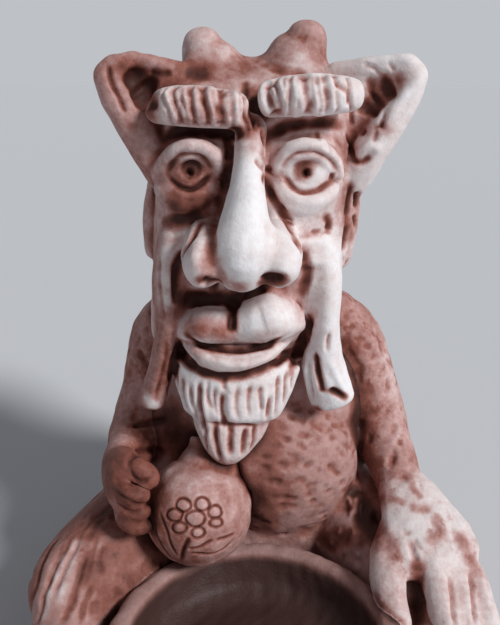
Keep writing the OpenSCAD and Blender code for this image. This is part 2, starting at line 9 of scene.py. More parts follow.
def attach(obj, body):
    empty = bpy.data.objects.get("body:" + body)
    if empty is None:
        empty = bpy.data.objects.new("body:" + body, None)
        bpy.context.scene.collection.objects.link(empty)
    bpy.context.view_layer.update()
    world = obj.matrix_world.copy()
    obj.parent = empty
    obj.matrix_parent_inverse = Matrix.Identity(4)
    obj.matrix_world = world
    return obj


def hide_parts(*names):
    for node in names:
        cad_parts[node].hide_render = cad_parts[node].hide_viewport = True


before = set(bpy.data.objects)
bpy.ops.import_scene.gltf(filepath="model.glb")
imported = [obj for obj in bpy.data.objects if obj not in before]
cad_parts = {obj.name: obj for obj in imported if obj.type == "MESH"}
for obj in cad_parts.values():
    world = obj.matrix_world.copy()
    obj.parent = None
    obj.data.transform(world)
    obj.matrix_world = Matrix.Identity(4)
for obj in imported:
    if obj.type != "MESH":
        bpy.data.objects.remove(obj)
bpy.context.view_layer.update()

MM = 0.001

# Picture frame of the photograph, in pixels, and the camera that took it
PICTURE_W = 500
PICTURE_H = 625
FOCAL_PIXELS = 670
CAMERA_AT = Vector((-1.0, -137.5, 144.0)) * MM
CAMERA_PITCH = math.radians(20)
SENSOR_W = 36
NEAR_CLIP = 0.01

# Pieces of the head, which are luted together, and those of the body
HEAD_PIECES = [
    "head", "horn_left", "horn_right", "ear_left", "ear_right", "brow_left", "brow_right",
    "eyeball_left", "eyeball_right", "upper_lid_left", "upper_lid_right", "lower_lid_left",
    "lower_lid_right", "nose", "nostril_left", "nostril_right", "upper_lip", "lower_lip", "whisker_left",
    "whisker_right", "sidelock_left", "sidelock_right", "beard", "beard_tip"]
BODY_PIECES = [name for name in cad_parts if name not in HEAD_PIECES and name != "jug"]

# Finish of the pieces that aren't in the pale clay
SLOT_OF = {"dish": "dark_clay"}
for name in ("base_slab", "torso", "belly", "thigh_left", "thigh_right", "shin_left", "shin_right",
             "hoof_left", "hoof_right"):
    SLOT_OF[name] = "red_clay"

# Stain over a whole piece, darker above zero. The heavier tones of the pieces named right, on the side
# turned from the lamp, are painted shade, and the paler left whisker, on the lit side, is painted light
TINT_AND_SHADE_OF = {
    "head": 0.2, "horn_left": 0.32, "horn_right": 0.2, "ear_left": 0.02, "ear_right": 0.36, "brow_left": 0.0,
    "brow_right": 0.12, "upper_lid_left": 0.1, "lower_lid_left": 0.1, "upper_lid_right": 0.2,
    "lower_lid_right": 0.32, "eyeball_left": 0.26, "eyeball_right": 0.48, "nostril_left": -0.02,
    "nostril_right": 0.14, "nose": -0.1, "upper_lip": 0.1, "lower_lip": 0.1, "whisker_left": -0.1,
    "whisker_right": 0.42, "sidelock_left": 0.18, "sidelock_right": 0.28, "beard": -0.04, "beard_tip": 0.12,
    "arm_left": 0.3, "arm_right": 0.37, "hand_right": 0.54, "fingers_right": 0.54, "thumb_right": 0.5,
    "jug": 0.31, "hand_left": 0.0, "thumb_left": 0.1, "fingers_left": 0.06,
    "thigh_right": 0.14, "belly": 0.03}

# How far the stain has come off in patches
MOTTLE = 0.25
MOTTLE_OF = {"arm_left": 1.0, "hand_left": 1.0, "thigh_right": 1.0, "arm_right": 0.6, "fingers_left": 0.7,
             "thigh_left": 0.7, "thumb_left": 0.5, "belly": 0.5}

# Grain of the modelled clay in millimetres, by piece, and of the three luted skins
FINE_GRAIN = 0.36
GRAIN = {
    "head": 0.48, "torso": 0.7, "base_slab": 0.9, "dish": 0.5, "belly": 0.42, "jug": 0.25,
    "thigh_left": 0.5, "thigh_right": 0.5, "shin_left": 0.55, "shin_right": 0.55,
    "hoof_left": 0.5, "hoof_right": 0.5, "arm_left": 0.44, "arm_right": 0.44}
HEAD_SKIN_GRAIN = 0.34
BODY_SKIN_GRAIN = 0.42
JUG_SKIN_GRAIN = 0.25

COARSE = 1.0

# Rounds of smoothing that take the flats off a piece, their strength, and the swelling that makes up for it
SMOOTHING = 36
SMOOTHING_OF = {"head": 80, "torso": 60, "base_slab": 5, "dish": 10, "eyeball_left": 4, "eyeball_right": 4,
                "jug": 10}
SMOOTHING_FACTOR = 0.5
SWELL = 0.14

# Rounds of wet rubbing that lute a skin, and the strength of one round
HEAD_LUTE = 40
BODY_LUTE = 30
PRESS = 0.8

# Depth in millimetres below the skin up to which a piece follows it, and past which it stays as it is
FOLLOW_NEAR = 0.9
FOLLOW_FAR = 1.5

# Depth up to which a piece follows the skin whichever way it faces, so that seams stay shut, and the most
# of its depth that a point comes up by
SEAM = 0.6
SEAM_LIFT = 0.85

# Distance in millimetres from its neighbours at which a point is a burr, and rounds that take burrs off
BURR = 0.3
BURR_ROUNDS = 10

# Wash left in a tool's groove, in a dent of the fur and in a stroke of hair, and tone of a pupil
GROOVE_WASH = 0.24
FUR_WASH = 0.03
HAIR_WASH = 0.24
PUPIL_TONE = 0.9

# Step of a tool's path over the surface, its unsteadiness in picture points, and length over which a groove
# of a brow runs on round its edges
STEP = 0.5
WOBBLE = 0.3
BROW_OVER = 2.5

# Depth of a pupil, width and depth of the ring round an iris, and of a petal's swelling and its ring
PUPIL_DEEP = 0.3
IRIS_RING = (0.7, 0.4)
PETAL_SWELL = (1.8, -0.25)
PETAL_RING = (0.5, 0.6)

# Strokes of the combed hair and fur, each a length, a width and a depth in millimetres, and how many
HAIR_STROKE = (14, 0.9, 0.6)
BACK_STROKE = (8, 0.9, 0.5)
LIMB_STROKE = (5, 1.8, 0.7)
BELLY_STROKE = (4, 1.3, 0.65)
HAIR_COUNT = 420
BACK_COUNT = 420
BELLY_COUNT = 80
LIMB_COUNT_OF = {"arm_left": 60, "arm_right": 40, "thigh_right": 60, "thigh_left": 60}
BELLY_LEAN = (1, 0, -0.2)
BACK_FUR_FROM = 14

# Height in millimetres of the swellings that hands leave, on the head, the body and the jug
HEAD_KNEAD = 0.012
BODY_KNEAD = 0.02
JUG_KNEAD = 0.02

# Reach in millimetres of the painted shade where two skins touch, and share of the wash that lies in hollows
CONTACT_SHADE_REACH = 2.5
HEAD_WASH_SHARE = 0.65
BODY_WASH_SHARE = 0.25
JUG_WASH_SHARE = 0.8

# Middle of the dish, the radius of its hollow and the height where its rim begins, in millimetres,
# and how much darker the hollow and how much paler the rim are made
DISH_Y = -21
DISH_HOLLOW = 30.5
DISH_RIM = 20
HOLLOW_DARKENING = 0.2
RIM_PALING = -0.22

# Top of the split of a hoof, and the split's length, width and depth, in millimetres
HOOF_TOP = (43, -37, 20)
HOOF_SPLIT = (20, 1.5, 1.6)

# Distance in millimetres behind the figure from which the strokes on its back are drawn
BEHIND = 300

# Rounds that spread a piece's movement into its hidden sides, and its stain and painted shade over its edges
HIDDEN_ROUNDS = 12
TINT_ROUNDS = 50

# Finishes, each a tone of the ground, a patchiness, a shine and a redness
FINISH_OF = {
    "pale_clay": (0.23, 0.4, 0.06, 1.0),
    "red_clay": (0.5, 0.26, 0.06, 0.95),
    "dark_clay": (0.82, 0.14, 0.14, 0.75)}

# Noises of the finishes, each a scale and a detail
BLOTCH_NOISE = (160, 5)
CLOUD_NOISE = (55, 3)
SMUDGE_NOISE = (800, 4)
PATCH_NOISE = (210, 6)
FINE_NOISE = (2600, 3)
ROUGH_NOISE = (900, 2)

# Light of the studio, and colours of its wall and floor
KEY_FROM = (0.655, -0.475, 0.59)
KEY_POWER = 2.7
KEY_SOFT = 14
ROOM_POWER = 0.19
ROOM_COLOUR = (0.90, 0.94, 1.0, 1)
WALL_COLOUR = (190, 193, 198)
FLOOR_COLOUR = (222, 224, 228)


# Modelling tools

def deselect():
    for obj in list(bpy.context.selected_objects):
        obj.select_set(False)


def activate(obj):
    deselect()
    obj.select_set(True)
    bpy.context.view_layer.objects.active = obj


def apply_modifiers(obj):
    activate(obj)
    for modifier in list(obj.modifiers):
        bpy.ops.object.modifier_apply(modifier=modifier.name)


def add_remesh(obj, grain):
    remesh = obj.modifiers.new("grain", "REMESH")
    remesh.mode = "VOXEL"
    remesh.voxel_size = grain * MM * COARSE


def largest_part(obj):
    """Drops the crumbs that a remesh leaves inside a piece."""
    name = obj.name
    activate(obj)
    bpy.ops.mesh.separate(type="LOOSE")
    parts = sorted(bpy.context.selected_objects, key=lambda part: len(part.data.vertices))
    for crumb in parts[:-1]:
        bpy.data.objects.remove(crumb)
    parts[-1].name = name
    return parts[-1]


def rough_piece(name):
    """A closed copy of a piece in even clay, with the flats of its solid smoothed off."""
    obj = bpy.data.objects.new(name + "_clay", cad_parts[name].data.copy())
    bpy.context.scene.collection.objects.link(obj)
    activate(obj)
    bpy.ops.object.mode_set(mode="EDIT")
    bpy.ops.mesh.select_all(action="SELECT")
    bpy.ops.mesh.remove_doubles(threshold=0.001 * MM)
    bpy.ops.object.mode_set(mode="OBJECT")
    add_remesh(obj, GRAIN.get(name, FINE_GRAIN))
    relax = obj.modifiers.new("relax", "SMOOTH")
    relax.factor = SMOOTHING_FACTOR
    relax.iterations = int(SMOOTHING_OF.get(name, SMOOTHING) / COARSE ** 2)
    swell = obj.modifiers.new("swell", "DISPLACE")
    swell.strength = SWELL * MM
    swell.mid_level = 0.0
    apply_modifiers(obj)
    return largest_part(obj)


def sight(x, y):
    """Direction from the camera through a point of the picture."""
    across = (x - PICTURE_W / 2) / FOCAL_PIXELS
    down = (y - PICTURE_H / 2) / FOCAL_PIXELS
    sin = math.sin(CAMERA_PITCH)
    cos = math.cos(CAMERA_PITCH)
    return Vector((across, cos - down * sin, -sin - down * cos)).normalized()


def smooth_line(points, step=1.2):
    """Picture points a step apart on a smooth line through the given ones."""
    line = []
    last = len(points) - 1
    for i in range(last):
        a, b, c, d = (np.array(points[min(max(i + k, 0), last)], float) for k in (-1, 0, 1, 2))
        count = max(2, int(np.linalg.norm(c - b) / step))
        for t in np.arange(count) / count:
            line.append(0.5 * (2 * b + (c - a) * t + (2 * a - 5 * b + 4 * c - d) * t ** 2
                               + (3 * b - a - 3 * c + d) * t ** 3))
    line.append(np.array(points[last], float))
    start = points[0][0]
    return [place + WOBBLE * np.sin((0.3 * i + start, 0.4 * i + start)) for i, place in enumerate(line)]


def circle(x, y, wide, high):
    """Picture points round an oval, closed."""
    turns = [math.tau * i / 12 for i in range(13)]
    return [(x + wide * math.cos(turn), y + high * math.sin(turn)) for turn in turns]


def row_dots(a, b):
    return np.einsum("ij,ij->i", a, b)


def length_of(rows):
    return np.sqrt(row_dots(rows, rows))


def read(items, key, width, kind=np.float32):
    """Values of the parts of a mesh, a row for each."""
    values = np.empty(len(items) * width, kind)
    items.foreach_get(key, values)
    return values.reshape(-1, width)


class Net:
    """The edges between the points of a mesh."""

    def __init__(self, mesh):
        self.ends = read(mesh.edges, "vertices", 2, np.int32)
        self.count = len(mesh.vertices)
        self.degree = np.bincount(self.ends.ravel(), minlength=self.count)

    def average(self, values):
        """Mean of each point's neighbours."""
        if values.ndim > 1:
            return np.stack([self.average(column) for column in values.T], axis=1)
        a, b = self.ends.T
        total = np.bincount(a, values[b], self.count) + np.bincount(b, values[a], self.count)
        return total / self.degree

    def soften(self, values, rounds):
        """Values evened out from point to point."""
        for _ in range(rounds):
            values = values + 0.5 * (self.average(values) - values)
        return values

    def take_off_burrs(self, at):
        """Brings the points that stand out from their neighbours back to them."""
        for _ in range(BURR_ROUNDS):
            pull = self.average(at) - at
            burr = length_of(pull) > BURR * COARSE * MM
            at[burr] += pull[burr]


class Skin:
    """The luted surface of several pieces, which the modelling tools work on."""

    def __init__(self, pieces, grain):
        copies = []
        for piece in pieces:
            twin = piece.copy()
            twin.data = piece.data.copy()
            bpy.context.scene.collection.objects.link(twin)
            copies.append(twin)
        deselect()
        for twin in copies:
            twin.select_set(True)
        bpy.context.view_layer.objects.active = copies[0]
        bpy.ops.object.join()
        self.obj = bpy.context.view_layer.objects.active
        add_remesh(self.obj, grain)
        apply_modifiers(self.obj)
        mesh = self.obj.data
        self.count = len(mesh.vertices)
        self.at = read(mesh.vertices, "co", 3).astype(float)
        self.net = Net(mesh)
        mesh.calc_loop_triangles()
        self.triangles = read(mesh.loop_triangles, "vertices", 3, np.int32)
        self.push = np.zeros(self.count)
        # Colour layers: wash, with painted shade where skins come close, and stain, with painted shade and
        # light
        self.wash = np.zeros(self.count)
        self.stain_and_shade = np.zeros(self.count)
        self.refresh()
        self.base = self.at.copy()
        self.base_tree = self.tree

    def refresh(self):
        """Normals and ray tree of the surface as it stands."""
        mesh = self.obj.data
        mesh.vertices.foreach_set("co", self.at.astype(np.float32).ravel())
        mesh.update()
        self.normal = read(mesh.vertex_normals, "vector", 3).astype(float)
        self.tree = BVHTree.FromPolygons(self.at.tolist(), self.triangles.tolist())

    def lute(self, rounds):
        """Fills the creases between pieces, as a wet finger does, and leaves what stands out."""
        for _ in range(int(rounds / COARSE ** 2)):
            pull = self.net.average(self.at) - self.at
            hollow = row_dots(pull, self.normal) > 0
            self.at[hollow] += PRESS * pull[hollow]
        self.refresh()

    def settle(self):
        """Moves the surface by what the tools have pushed, and takes off the burrs."""
        self.at += self.normal * self.push[:, None] * MM
        self.push[:] = 0
        self.at = self.net.soften(self.at, 1)
        self.net.take_off_burrs(self.at)
        self.refresh()

    def hollowness(self, rounds):
        """Depth of each point below the surface smoothed over that many rounds, in millimetres."""
        even = self.net.soften(self.at, max(1, int(rounds / COARSE ** 2)))
        return row_dots(even - self.at, self.normal) / MM

    def seen(self, points, behind=False):
        """Places on the surface, and its normals, at points of the picture or of a view from behind."""
        places = []
        normals = []
        for x, y in points:
            if behind:
                start, towards = Vector((x, BEHIND, y)) * MM, Vector((0, -1, 0))
            else:
                start, towards = CAMERA_AT, sight(x, y)
            place, normal, _, _ = self.tree.ray_cast(start, towards)
            if place is not None:
                places.append(place)
                normals.append(normal)
        return np.array(places).reshape(-1, 3), np.array(normals).reshape(-1, 3)

    def touch(self, places, normals, wide, ends=0.0, turn=0.0):
        """Points within reach of a line of places, and how strongly a rounded tool touches each."""
        reach = wide * MM
        if len(places) == 0:
            return np.empty(0, int), np.empty(0)
        boxed = np.all((self.at > places.min(0) - reach) & (self.at < places.max(0) + reach), axis=1)
        near = np.nonzero(boxed)[0]
        gap = np.full(len(near), np.inf)
        which = np.zeros(len(near), int)
        for i, place in enumerate(places):
            d = length_of(self.at[near] - place)
            closer = d < gap
            gap[closer] = d[closer]
            which[closer] = i
        fair = (gap < reach) & (row_dots(self.normal[near], normals[which]) > turn)
        near, gap, which = near[fair], gap[fair], which[fair]
        strength = (1 - (gap / reach) ** 2) ** 2 * (0.88 + 0.12 * np.sin(0.4 * which + places[0][0] / MM))
        if ends > 0 and len(places) > 1:
            t = which / (len(places) - 1)
            strength = strength * np.clip(np.minimum(t, 1 - t) / ends + 0.15, 0, 1)
        return near, strength

    def brush(self, points, wide, ends=0.0, turn=0.0, behind=False):
        """What a tool of this width touches along a drawn line."""
        line = smooth_line(points) if len(points) > 1 else points
        places, normals = self.seen(line, behind)
        return self.touch(places, normals, wide, ends, turn)

    def carve(self, near, strength, deep, wash):
        """Presses a tool in where it touches, and leaves wash there."""
        self.push[near] -= deep * strength
        self.wash[near] = np.maximum(self.wash[near], wash * min(1.0, max(0.0, deep)) * strength)

    def walk(self, place, normal, lean, long):
        """Places on the surface, and its normals, a step apart along a path that leans one way."""
        places = []
        normals = []
        for _ in range(int(long / STEP)):
            along = (lean - normal * lean.dot(normal)).normalized()
            place, normal, _, _ = self.tree.find_nearest(place + along * STEP * MM)
            places.append(place)
            normals.append(normal)
        return places, normals

    def cut(self, points, wide, deep, ends=0.25, wash=GROOVE_WASH, behind=False):
        """A groove along a drawn line. A deep below zero raises a ridge."""
        near, strength = self.brush(points, wide, ends, behind=behind)
        self.carve(near, strength, deep, wash)

    def cut_through(self, points, wide, deep, over):
        """A groove along a line drawn on the picture that runs on round the edges above and below."""
        places, normals = (list(map(Vector, rows)) for rows in self.seen(smooth_line(points)))
        above = self.walk(places[0], normals[0], Vector((0, 0.5, 1)), over)
        below = self.walk(places[-1], normals[-1], Vector((0, 0.5, -1)), over)
        places = above[0][::-1] + places + below[0]
        normals = above[1][::-1] + normals + below[1]
        near, strength = self.touch(np.array(places), np.array(normals), wide)
        self.carve(near, strength, deep, GROOVE_WASH)

    def fill(self, points, wide, rounds):
        """Presses clay into the hollows along a line drawn on the picture."""
        near, strength = self.brush(points, wide, turn=-0.6)
        strength = np.minimum(1, 2 * strength)[:, None]
        inner = np.full(self.count, -1)
        inner[near] = np.arange(len(near))
        ends = inner[self.net.ends]
        ends = ends[(ends >= 0).all(axis=1)]
        both = np.concatenate([ends, ends[:, ::-1]])
        degree = np.maximum(np.bincount(both[:, 0], minlength=len(near)), 1)
        at = self.at[near]
        normal = self.normal[near]
        for _ in range(int(rounds / COARSE ** 2)):
            mean = [np.bincount(both[:, 0], at[both[:, 1], k], len(near)) / degree for k in range(3)]
            pull = np.stack(mean, axis=1) - at
            hollow = row_dots(pull, normal) > 0
            at += PRESS * np.where(hollow[:, None], pull, 0) * strength
        self.at[near] = at

    def paint(self, points, wide, tone):
        """A dab or line on the picture, used for stain and for painted shade and light, brought to a tone
        that is darker above zero.
        """
        near, strength = self.brush(points, wide, turn=-0.6)
        self.stain_and_shade[near] += (tone - self.stain_and_shade[near]) * strength

    def comb(self, places_fit, count, stroke, wash, seed, towards=(0, 0, -1)):
        """Strokes of a tool drawn one way at random places, for hair and fur."""
        long, wide, deep = stroke
        dice = np.random.default_rng(seed)
        fit = np.nonzero(places_fit)[0]
        for start in dice.choice(fit, count):
            lean = Vector(towards) + Vector(dice.normal(0, 0.25, 3))
            path = long * dice.uniform(0.6, 1.3)
            places, normals = self.walk(Vector(self.at[start]), Vector(self.normal[start]), lean, path)
            broad = wide * dice.uniform(0.7, 1.2)
            near, strength = self.touch(np.array(places), np.array(normals), broad, 0.3)
            self.carve(near, strength, deep * dice.uniform(0.5, 1.2), wash)

    def knead(self, amount, seed):
        """Uneven swellings that the hands leave in soft clay."""
        dice = np.random.default_rng(seed)
        for _ in range(40):
            wave = dice.normal(0, 1, 3)
            wave *= math.tau / (dice.uniform(3.0, 11.0) * MM) / np.linalg.norm(wave)
            self.push += amount * np.sin(self.at @ wave + dice.uniform(0, math.tau))


# Hollows of the head and the body pressed full of clay, each a width in millimetres, rounds of rubbing and
# then x and y of each point of a line on the picture
HEAD_FILLS = [
    (5.0, 200, 166, 162, 170, 147, 184, 138, 200, 139, 214, 148, 224, 164),
    (5.0, 240, 166, 184, 178, 196, 195, 198, 211, 190),
    (5.0, 240, 166, 205, 184, 209, 203, 203),
    (5.0, 200, 274, 162, 284, 142, 300, 134, 321, 135, 338, 145, 347, 166),
    (5.0, 240, 274, 176, 289, 197, 310, 205, 333, 198, 345, 182),
    (6.0, 700, 276, 200, 290, 212, 310, 218, 333, 212, 347, 196),
    (5.0, 200, 216, 224, 212, 240, 211, 262),
    (6.0, 900, 266, 226, 274, 240, 273, 256, 268, 272),
    (7.0, 900, 308, 236, 311, 262, 313, 290),
    (7.0, 1200, 306, 226, 320, 224, 336, 228),
    (6.0, 600, 336, 238, 339, 262, 341, 290, 342, 318),
    (7.0, 800, 174, 236, 174, 262, 175, 292),
    (6.0, 1000, 158, 230, 166, 228, 174, 232),
    (6.0, 300, 157, 238, 156, 270, 158, 310),
    (6.0, 300, 182, 66, 200, 70, 225, 66, 246, 60),
    (6.0, 300, 260, 58, 285, 66, 305, 68, 328, 64),
    (4.5, 400, 165, 84, 190, 81, 220, 79, 245, 85),
    (5.5, 700, 268, 80, 295, 74, 325, 71, 347, 75),
    (4.5, 120, 186, 318, 205, 313, 224, 310),
    (4.5, 200, 246, 304, 274, 296, 298, 306, 306, 322),
    (4.5, 900, 180, 372, 205, 382, 235, 384, 265, 376, 290, 366),
    (6.0, 900, 304, 244, 307, 270, 308, 300, 304, 330),
    (3.0, 300, 276, 168, 284, 172),
    (3.0, 300, 336, 180, 346, 180),
    (3.0, 300, 162, 178, 170, 178),
    (3.0, 300, 212, 172, 222, 170),
    (4.0, 200, 244, 130, 254, 126),
    (3.0, 60, 275, 120, 300, 119, 330, 116, 350, 112),
    (3.0, 60, 160, 124, 190, 126, 225, 127, 246, 128),
    (4.0, 400, 294, 372, 297, 388, 298, 402),
    (4.0, 120, 345, 195, 345, 220, 342, 245),
    (4.0, 300, 196, 418, 206, 426, 216, 430)]

BODY_FILLS = [
    (5.0, 160, 150, 310, 156, 330, 158, 360),
    (4.0, 300, 118, 470, 124, 484, 134, 500),
    (4.0, 300, 126, 470, 138, 480, 150, 478),
    (5.0, 900, 114, 480, 126, 492, 140, 500, 150, 500),
    (5.0, 900, 118, 500, 130, 512, 146, 516),
    (5.0, 500, 30, 612, 60, 608, 90, 612, 105, 618),
    (5.0, 300, 418, 548, 436, 562, 456, 566, 474, 562),
    (4.0, 200, 404, 545, 398, 562, 394, 580)]

# Tool marks on the head, each a width and a depth in millimetres and then x and y of each point of
# a line on the picture. A depth below zero is a ridge.
BROW_CUTS = [
    (1.1, 1.1, 171, 92, 175, 106, 180, 121),
    (0.8, 0.8, 181, 98, 184, 110, 187, 122),
    (1.2, 1.3, 189, 90, 191, 104, 193, 116, 194, 123),
    (1.2, 1.4, 202, 89, 203, 99, 207, 112, 208, 123),
    (1.5, 1.4, 222, 89, 222, 98, 221, 108, 223, 117),
    (0.9, 0.8, 213, 100, 216, 110, 217, 118),
    (1.0, 0.9, 245, 94, 246, 106, 246, 116),
    (0.8, 0.6, 231, 92, 232, 106, 233, 117),
    (0.7, 0.5, 162, 96, 167, 110, 171, 121),
    (0.7, 0.5, 196, 92, 199, 108, 201, 123),
    (0.6, 0.5, 177, 92, 180, 104),
    (0.6, 0.5, 227, 92, 228, 104),
    (0.6, 0.5, 240, 93, 241, 110),
    (1.8, 1.6, 266, 92, 270, 104, 275, 115),
    (0.9, 1.0, 274, 82, 278, 95, 281, 112),
    (0.8, 0.7, 289, 81, 289, 96, 290, 112),
    (1.5, 1.0, 304, 81, 307, 95, 309, 105),
    (0.8, 0.7, 317, 80, 319, 92, 321, 102),
    (1.2, 1.0, 325, 80, 326, 92, 328, 102),
    (1.0, 0.9, 336, 80, 341, 87, 348, 91),
    (0.8, 0.8, 350, 84, 351, 98, 352, 112),
    (0.7, 0.6, 337, 92, 338, 108),
    (0.6, 0.5, 297, 82, 299, 96),
    (0.6, 0.5, 283, 82, 285, 98),
    (0.6, 0.5, 312, 82, 313, 96)]

BROW_RIDGES = [
    (1.2, -0.5, 165, 90, 169, 104),
    (1.3, -0.5, 211, 88, 212, 108),
    (1.3, -0.5, 236, 89, 237, 112),
    (1.3, -0.5, 283, 86, 285, 104),
    (1.2, -0.5, 297, 84, 299, 102),
    (1.6, -0.4, 288, 115, 310, 117, 332, 111)]

EYE_CUTS = [
    (2.2, 1.8, 166, 138, 174, 131, 192, 129, 220, 131, 246, 134),
    (2.0, 1.4, 268, 138, 278, 130, 296, 124, 318, 122, 340, 124),
    (1.8, -0.6, 168, 160, 173, 150, 184, 144, 198, 144, 210, 150, 219, 160),
    (1.3, -0.5, 174, 192, 190, 195, 205, 192, 213, 186),
    (1.9, -0.6, 277, 158, 286, 147, 300, 142, 314, 142, 330, 143, 341, 153),
    (1.9, -0.5, 277, 176, 285, 188, 296, 198, 312, 202, 328, 198, 339, 187),
    (1.0, 1.0, 167, 174, 172, 163, 181, 156, 193, 155, 205, 160, 213, 169),
    (1.0, 0.9, 169, 177, 178, 186, 190, 189, 201, 184, 211, 175),
    (3.0, 0.8, 162, 221, 176, 222, 190, 218, 203, 210, 213, 201),
    (1.4, 1.2, 225, 134, 229, 148, 230, 160),
    (2.4, 1.0, 229, 163, 225, 182, 220, 198, 213, 207),
    (1.3, 1.1, 281, 170, 290, 158, 304, 153, 320, 155, 332, 163, 341, 176),
    (1.1, 1.0, 283, 175, 292, 187, 304, 192, 318, 190, 330, 183, 341, 179),
    (1.3, 1.2, 329, 176, 335, 178),
    (0.7, 0.7, 316, 131, 319, 143),
    (1.6, 0.9, 326, 216, 329, 222, 328, 230),
    (0.8, 0.5, 311, 231, 316, 232, 321, 231),
    (1.8, 1.1, 262, 176, 269, 192, 279, 207, 288, 222, 297, 239),
    (1.1, 0.8, 255, 158, 262, 167, 272, 170),
    (2.2, 0.9, 257, 96, 255, 112, 258, 134),
    (4.0, 1.5, 252, 116, 260, 120, 264, 128),
    (1.1, 0.8, 264, 120, 264, 136, 266, 146)]

NOSE_CUTS = [
    (1.6, 1.2, 202, 219, 192, 236, 184, 250, 178, 263, 176, 280, 177, 298),
    (2.0, 0.7, 284, 225, 296, 240, 303, 256, 307, 270, 304, 286, 298, 298),
    (2.4, 0.5, 214, 212, 213, 238, 208, 258, 206, 272),
    (2.4, 2.0, 201, 282, 210, 284, 219, 287),
    (3.0, 1.2, 184, 298, 203, 300, 222, 298),
    (2.4, 2.2, 264, 282, 273, 279, 283, 283),
    (2.4, 1.6, 245, 297, 256, 291, 264, 285),
    (2.0, -0.5, 200, 236, 194, 254, 197, 270)]

MOUTH_CUTS = [
    (6.0, -0.5, 262, 316, 280, 310),
    (3.0, -0.6, 190, 318, 208, 316, 222, 318),
    (2.6, 1.6, 234, 300, 233, 310),
    (1.3, 1.2, 233, 306, 232, 318, 232, 332),
    (1.4, 1.2, 181, 334, 196, 342, 215, 347, 238, 350, 259, 347, 275, 341, 287, 335),
    (1.7, 0.9, 177, 340, 182, 356, 195, 368, 215, 375, 240, 375, 262, 368, 284, 357, 300, 339),
    (2.2, 0.7, 180, 348, 186, 360, 196, 368),
    (2.2, -0.5, 185, 377, 205, 385, 235, 387, 265, 381, 288, 371),
    (1.3, -0.5, 198, 355, 220, 362, 240, 365, 262, 360, 280, 350),
    (2.0, 1.2, 311, 318, 304, 337, 297, 354, 291, 372)]

HAIR_CUTS = [
    (1.2, 1.2, 314, 350, 317, 366, 320, 380, 323, 393),
    (1.4, 1.2, 301, 362, 301, 385, 303, 404),
    (1.2, 1.4, 330, 390, 338, 393, 346, 398),
    (0.9, 0.8, 329, 333, 328, 342, 327, 352),
    (0.7, 0.6, 309, 362, 311, 382, 313, 400),
    (1.3, -0.5, 308, 350, 307, 375, 309, 398),
    (1.5, -0.5, 330, 360, 336, 376, 346, 394, 350, 404),
    (1.4, 1.4, 176, 346, 172, 372, 168, 396, 171, 414),
    (0.9, 0.7, 167, 340, 165, 362, 159, 384, 155, 402),
    (0.9, 0.5, 160, 250, 159, 275, 161, 300, 165, 318),
    (1.2, 0.8, 174, 262, 175, 285, 174, 304),
    (1.1, 1.0, 351, 184, 349, 200, 346, 216),
    (1.2, 1.2, 357, 192, 355, 208),
    (1.1, 1.0, 354, 214, 357, 226),
    (1.1, 0.9, 346, 224, 345, 240, 343, 252),
    (0.9, 0.7, 347, 260, 345, 272),
    (5.0, -1.0, 309, 236, 309, 250, 310, 268)]

BEARD_CUTS = [
    (1.2, 0.77, 178, 362, 176, 380, 178, 398),
    (1.2, 1.1, 182, 378, 182, 396, 188, 414),
    (1.0, 0.9, 190, 384, 191, 402, 197, 420),
    (1.3, 1.3, 200, 382, 199, 405, 204, 430),
    (0.9, 0.6, 208, 380, 207, 396, 212, 412),
    (1.3, 1.3, 223, 394, 221, 410, 226, 428),
    (0.9, 0.6, 224, 378, 224, 390),
    (0.8, 0.6, 215, 386, 214, 402, 217, 418),
    (0.8, 0.5, 238, 384, 236, 404, 238, 420),
    (0.8, 0.5, 250, 384, 248, 400, 249, 416),
    (0.8, 0.6, 260, 386, 261, 412),
    (1.1, 1.0, 270, 396, 268, 414, 270, 430),
    (0.9, 0.8, 278, 374, 277, 398, 276, 420),
    (0.9, 0.8, 286, 373, 285, 396, 283, 415),
    (0.9, 0.7, 293, 378, 291, 402),
    (1.2, -0.4, 204, 384, 203, 404, 208, 424),
    (1.2, -0.4, 231, 384, 230, 404, 232, 420),
    (1.2, -0.4, 265, 384, 265, 404, 264, 420),
    (1.0, 0.7, 206, 422, 220, 425, 240, 425, 258, 426),
    (1.2, 1.3, 216, 422, 215, 436, 217, 450, 222, 463),
    (1.2, 1.1, 231, 424, 230, 440, 231, 457),
    (1.1, 1.1, 246, 427, 244, 440, 243, 456),
    (1.0, 0.9, 255, 426, 254, 440, 250, 453),
    (0.9, 0.7, 206, 428, 205, 442, 209, 457),
    (0.9, 0.7, 266, 430, 262, 447)]

EAR_CUTS = [
    (4.5, 2.0, 126, 70, 142, 80, 158, 86),
    (4.5, 2.0, 138, 84, 146, 98, 148, 112),
    (1.8, -0.8, 114, 69, 121, 82, 128, 96, 131, 110),
    (0.9, 1.1, 107, 64, 112, 82, 118, 95, 126, 113),
    (2.0, -0.8, 112, 60, 128, 55, 142, 56, 158, 60, 174, 60),
    (1.2, 0.8, 150, 70, 162, 74, 172, 72),
    (4.5, 1.6, 394, 83, 380, 90, 368, 94),
    (4.2, 1.6, 378, 95, 370, 106, 366, 116),
    (1.8, -0.6, 345, 66, 372, 60, 402, 58, 424, 64),
    (1.8, -0.6, 424, 76, 408, 92, 394, 110, 388, 122),
    (1.0, 0.8, 386, 110, 382, 122, 371, 128),
    (1.2, 1.1, 352, 160, 362, 162, 372, 156),
    (1.5, -0.7, 358, 153, 370, 147, 382, 150),
    (1.0, 0.7, 346, 134, 352, 150, 355, 166),
    (1.2, 1.0, 362, 131, 365, 134),
    (1.0, 0.8, 381, 120, 383, 130),
    (1.0, 0.5, 376, 130, 374, 142),
    (0.8, 0.5, 362, 64, 374, 68, 380, 76),
    (0.8, 0.5, 388, 62, 394, 70),
    (2.4, 0.3, 299, 33, 308, 38),
    (2.2, 0.6, 262, 62, 280, 70, 300, 74, 316, 79),
    (3.0, 0.5, 184, 70, 196, 74, 210, 72)]

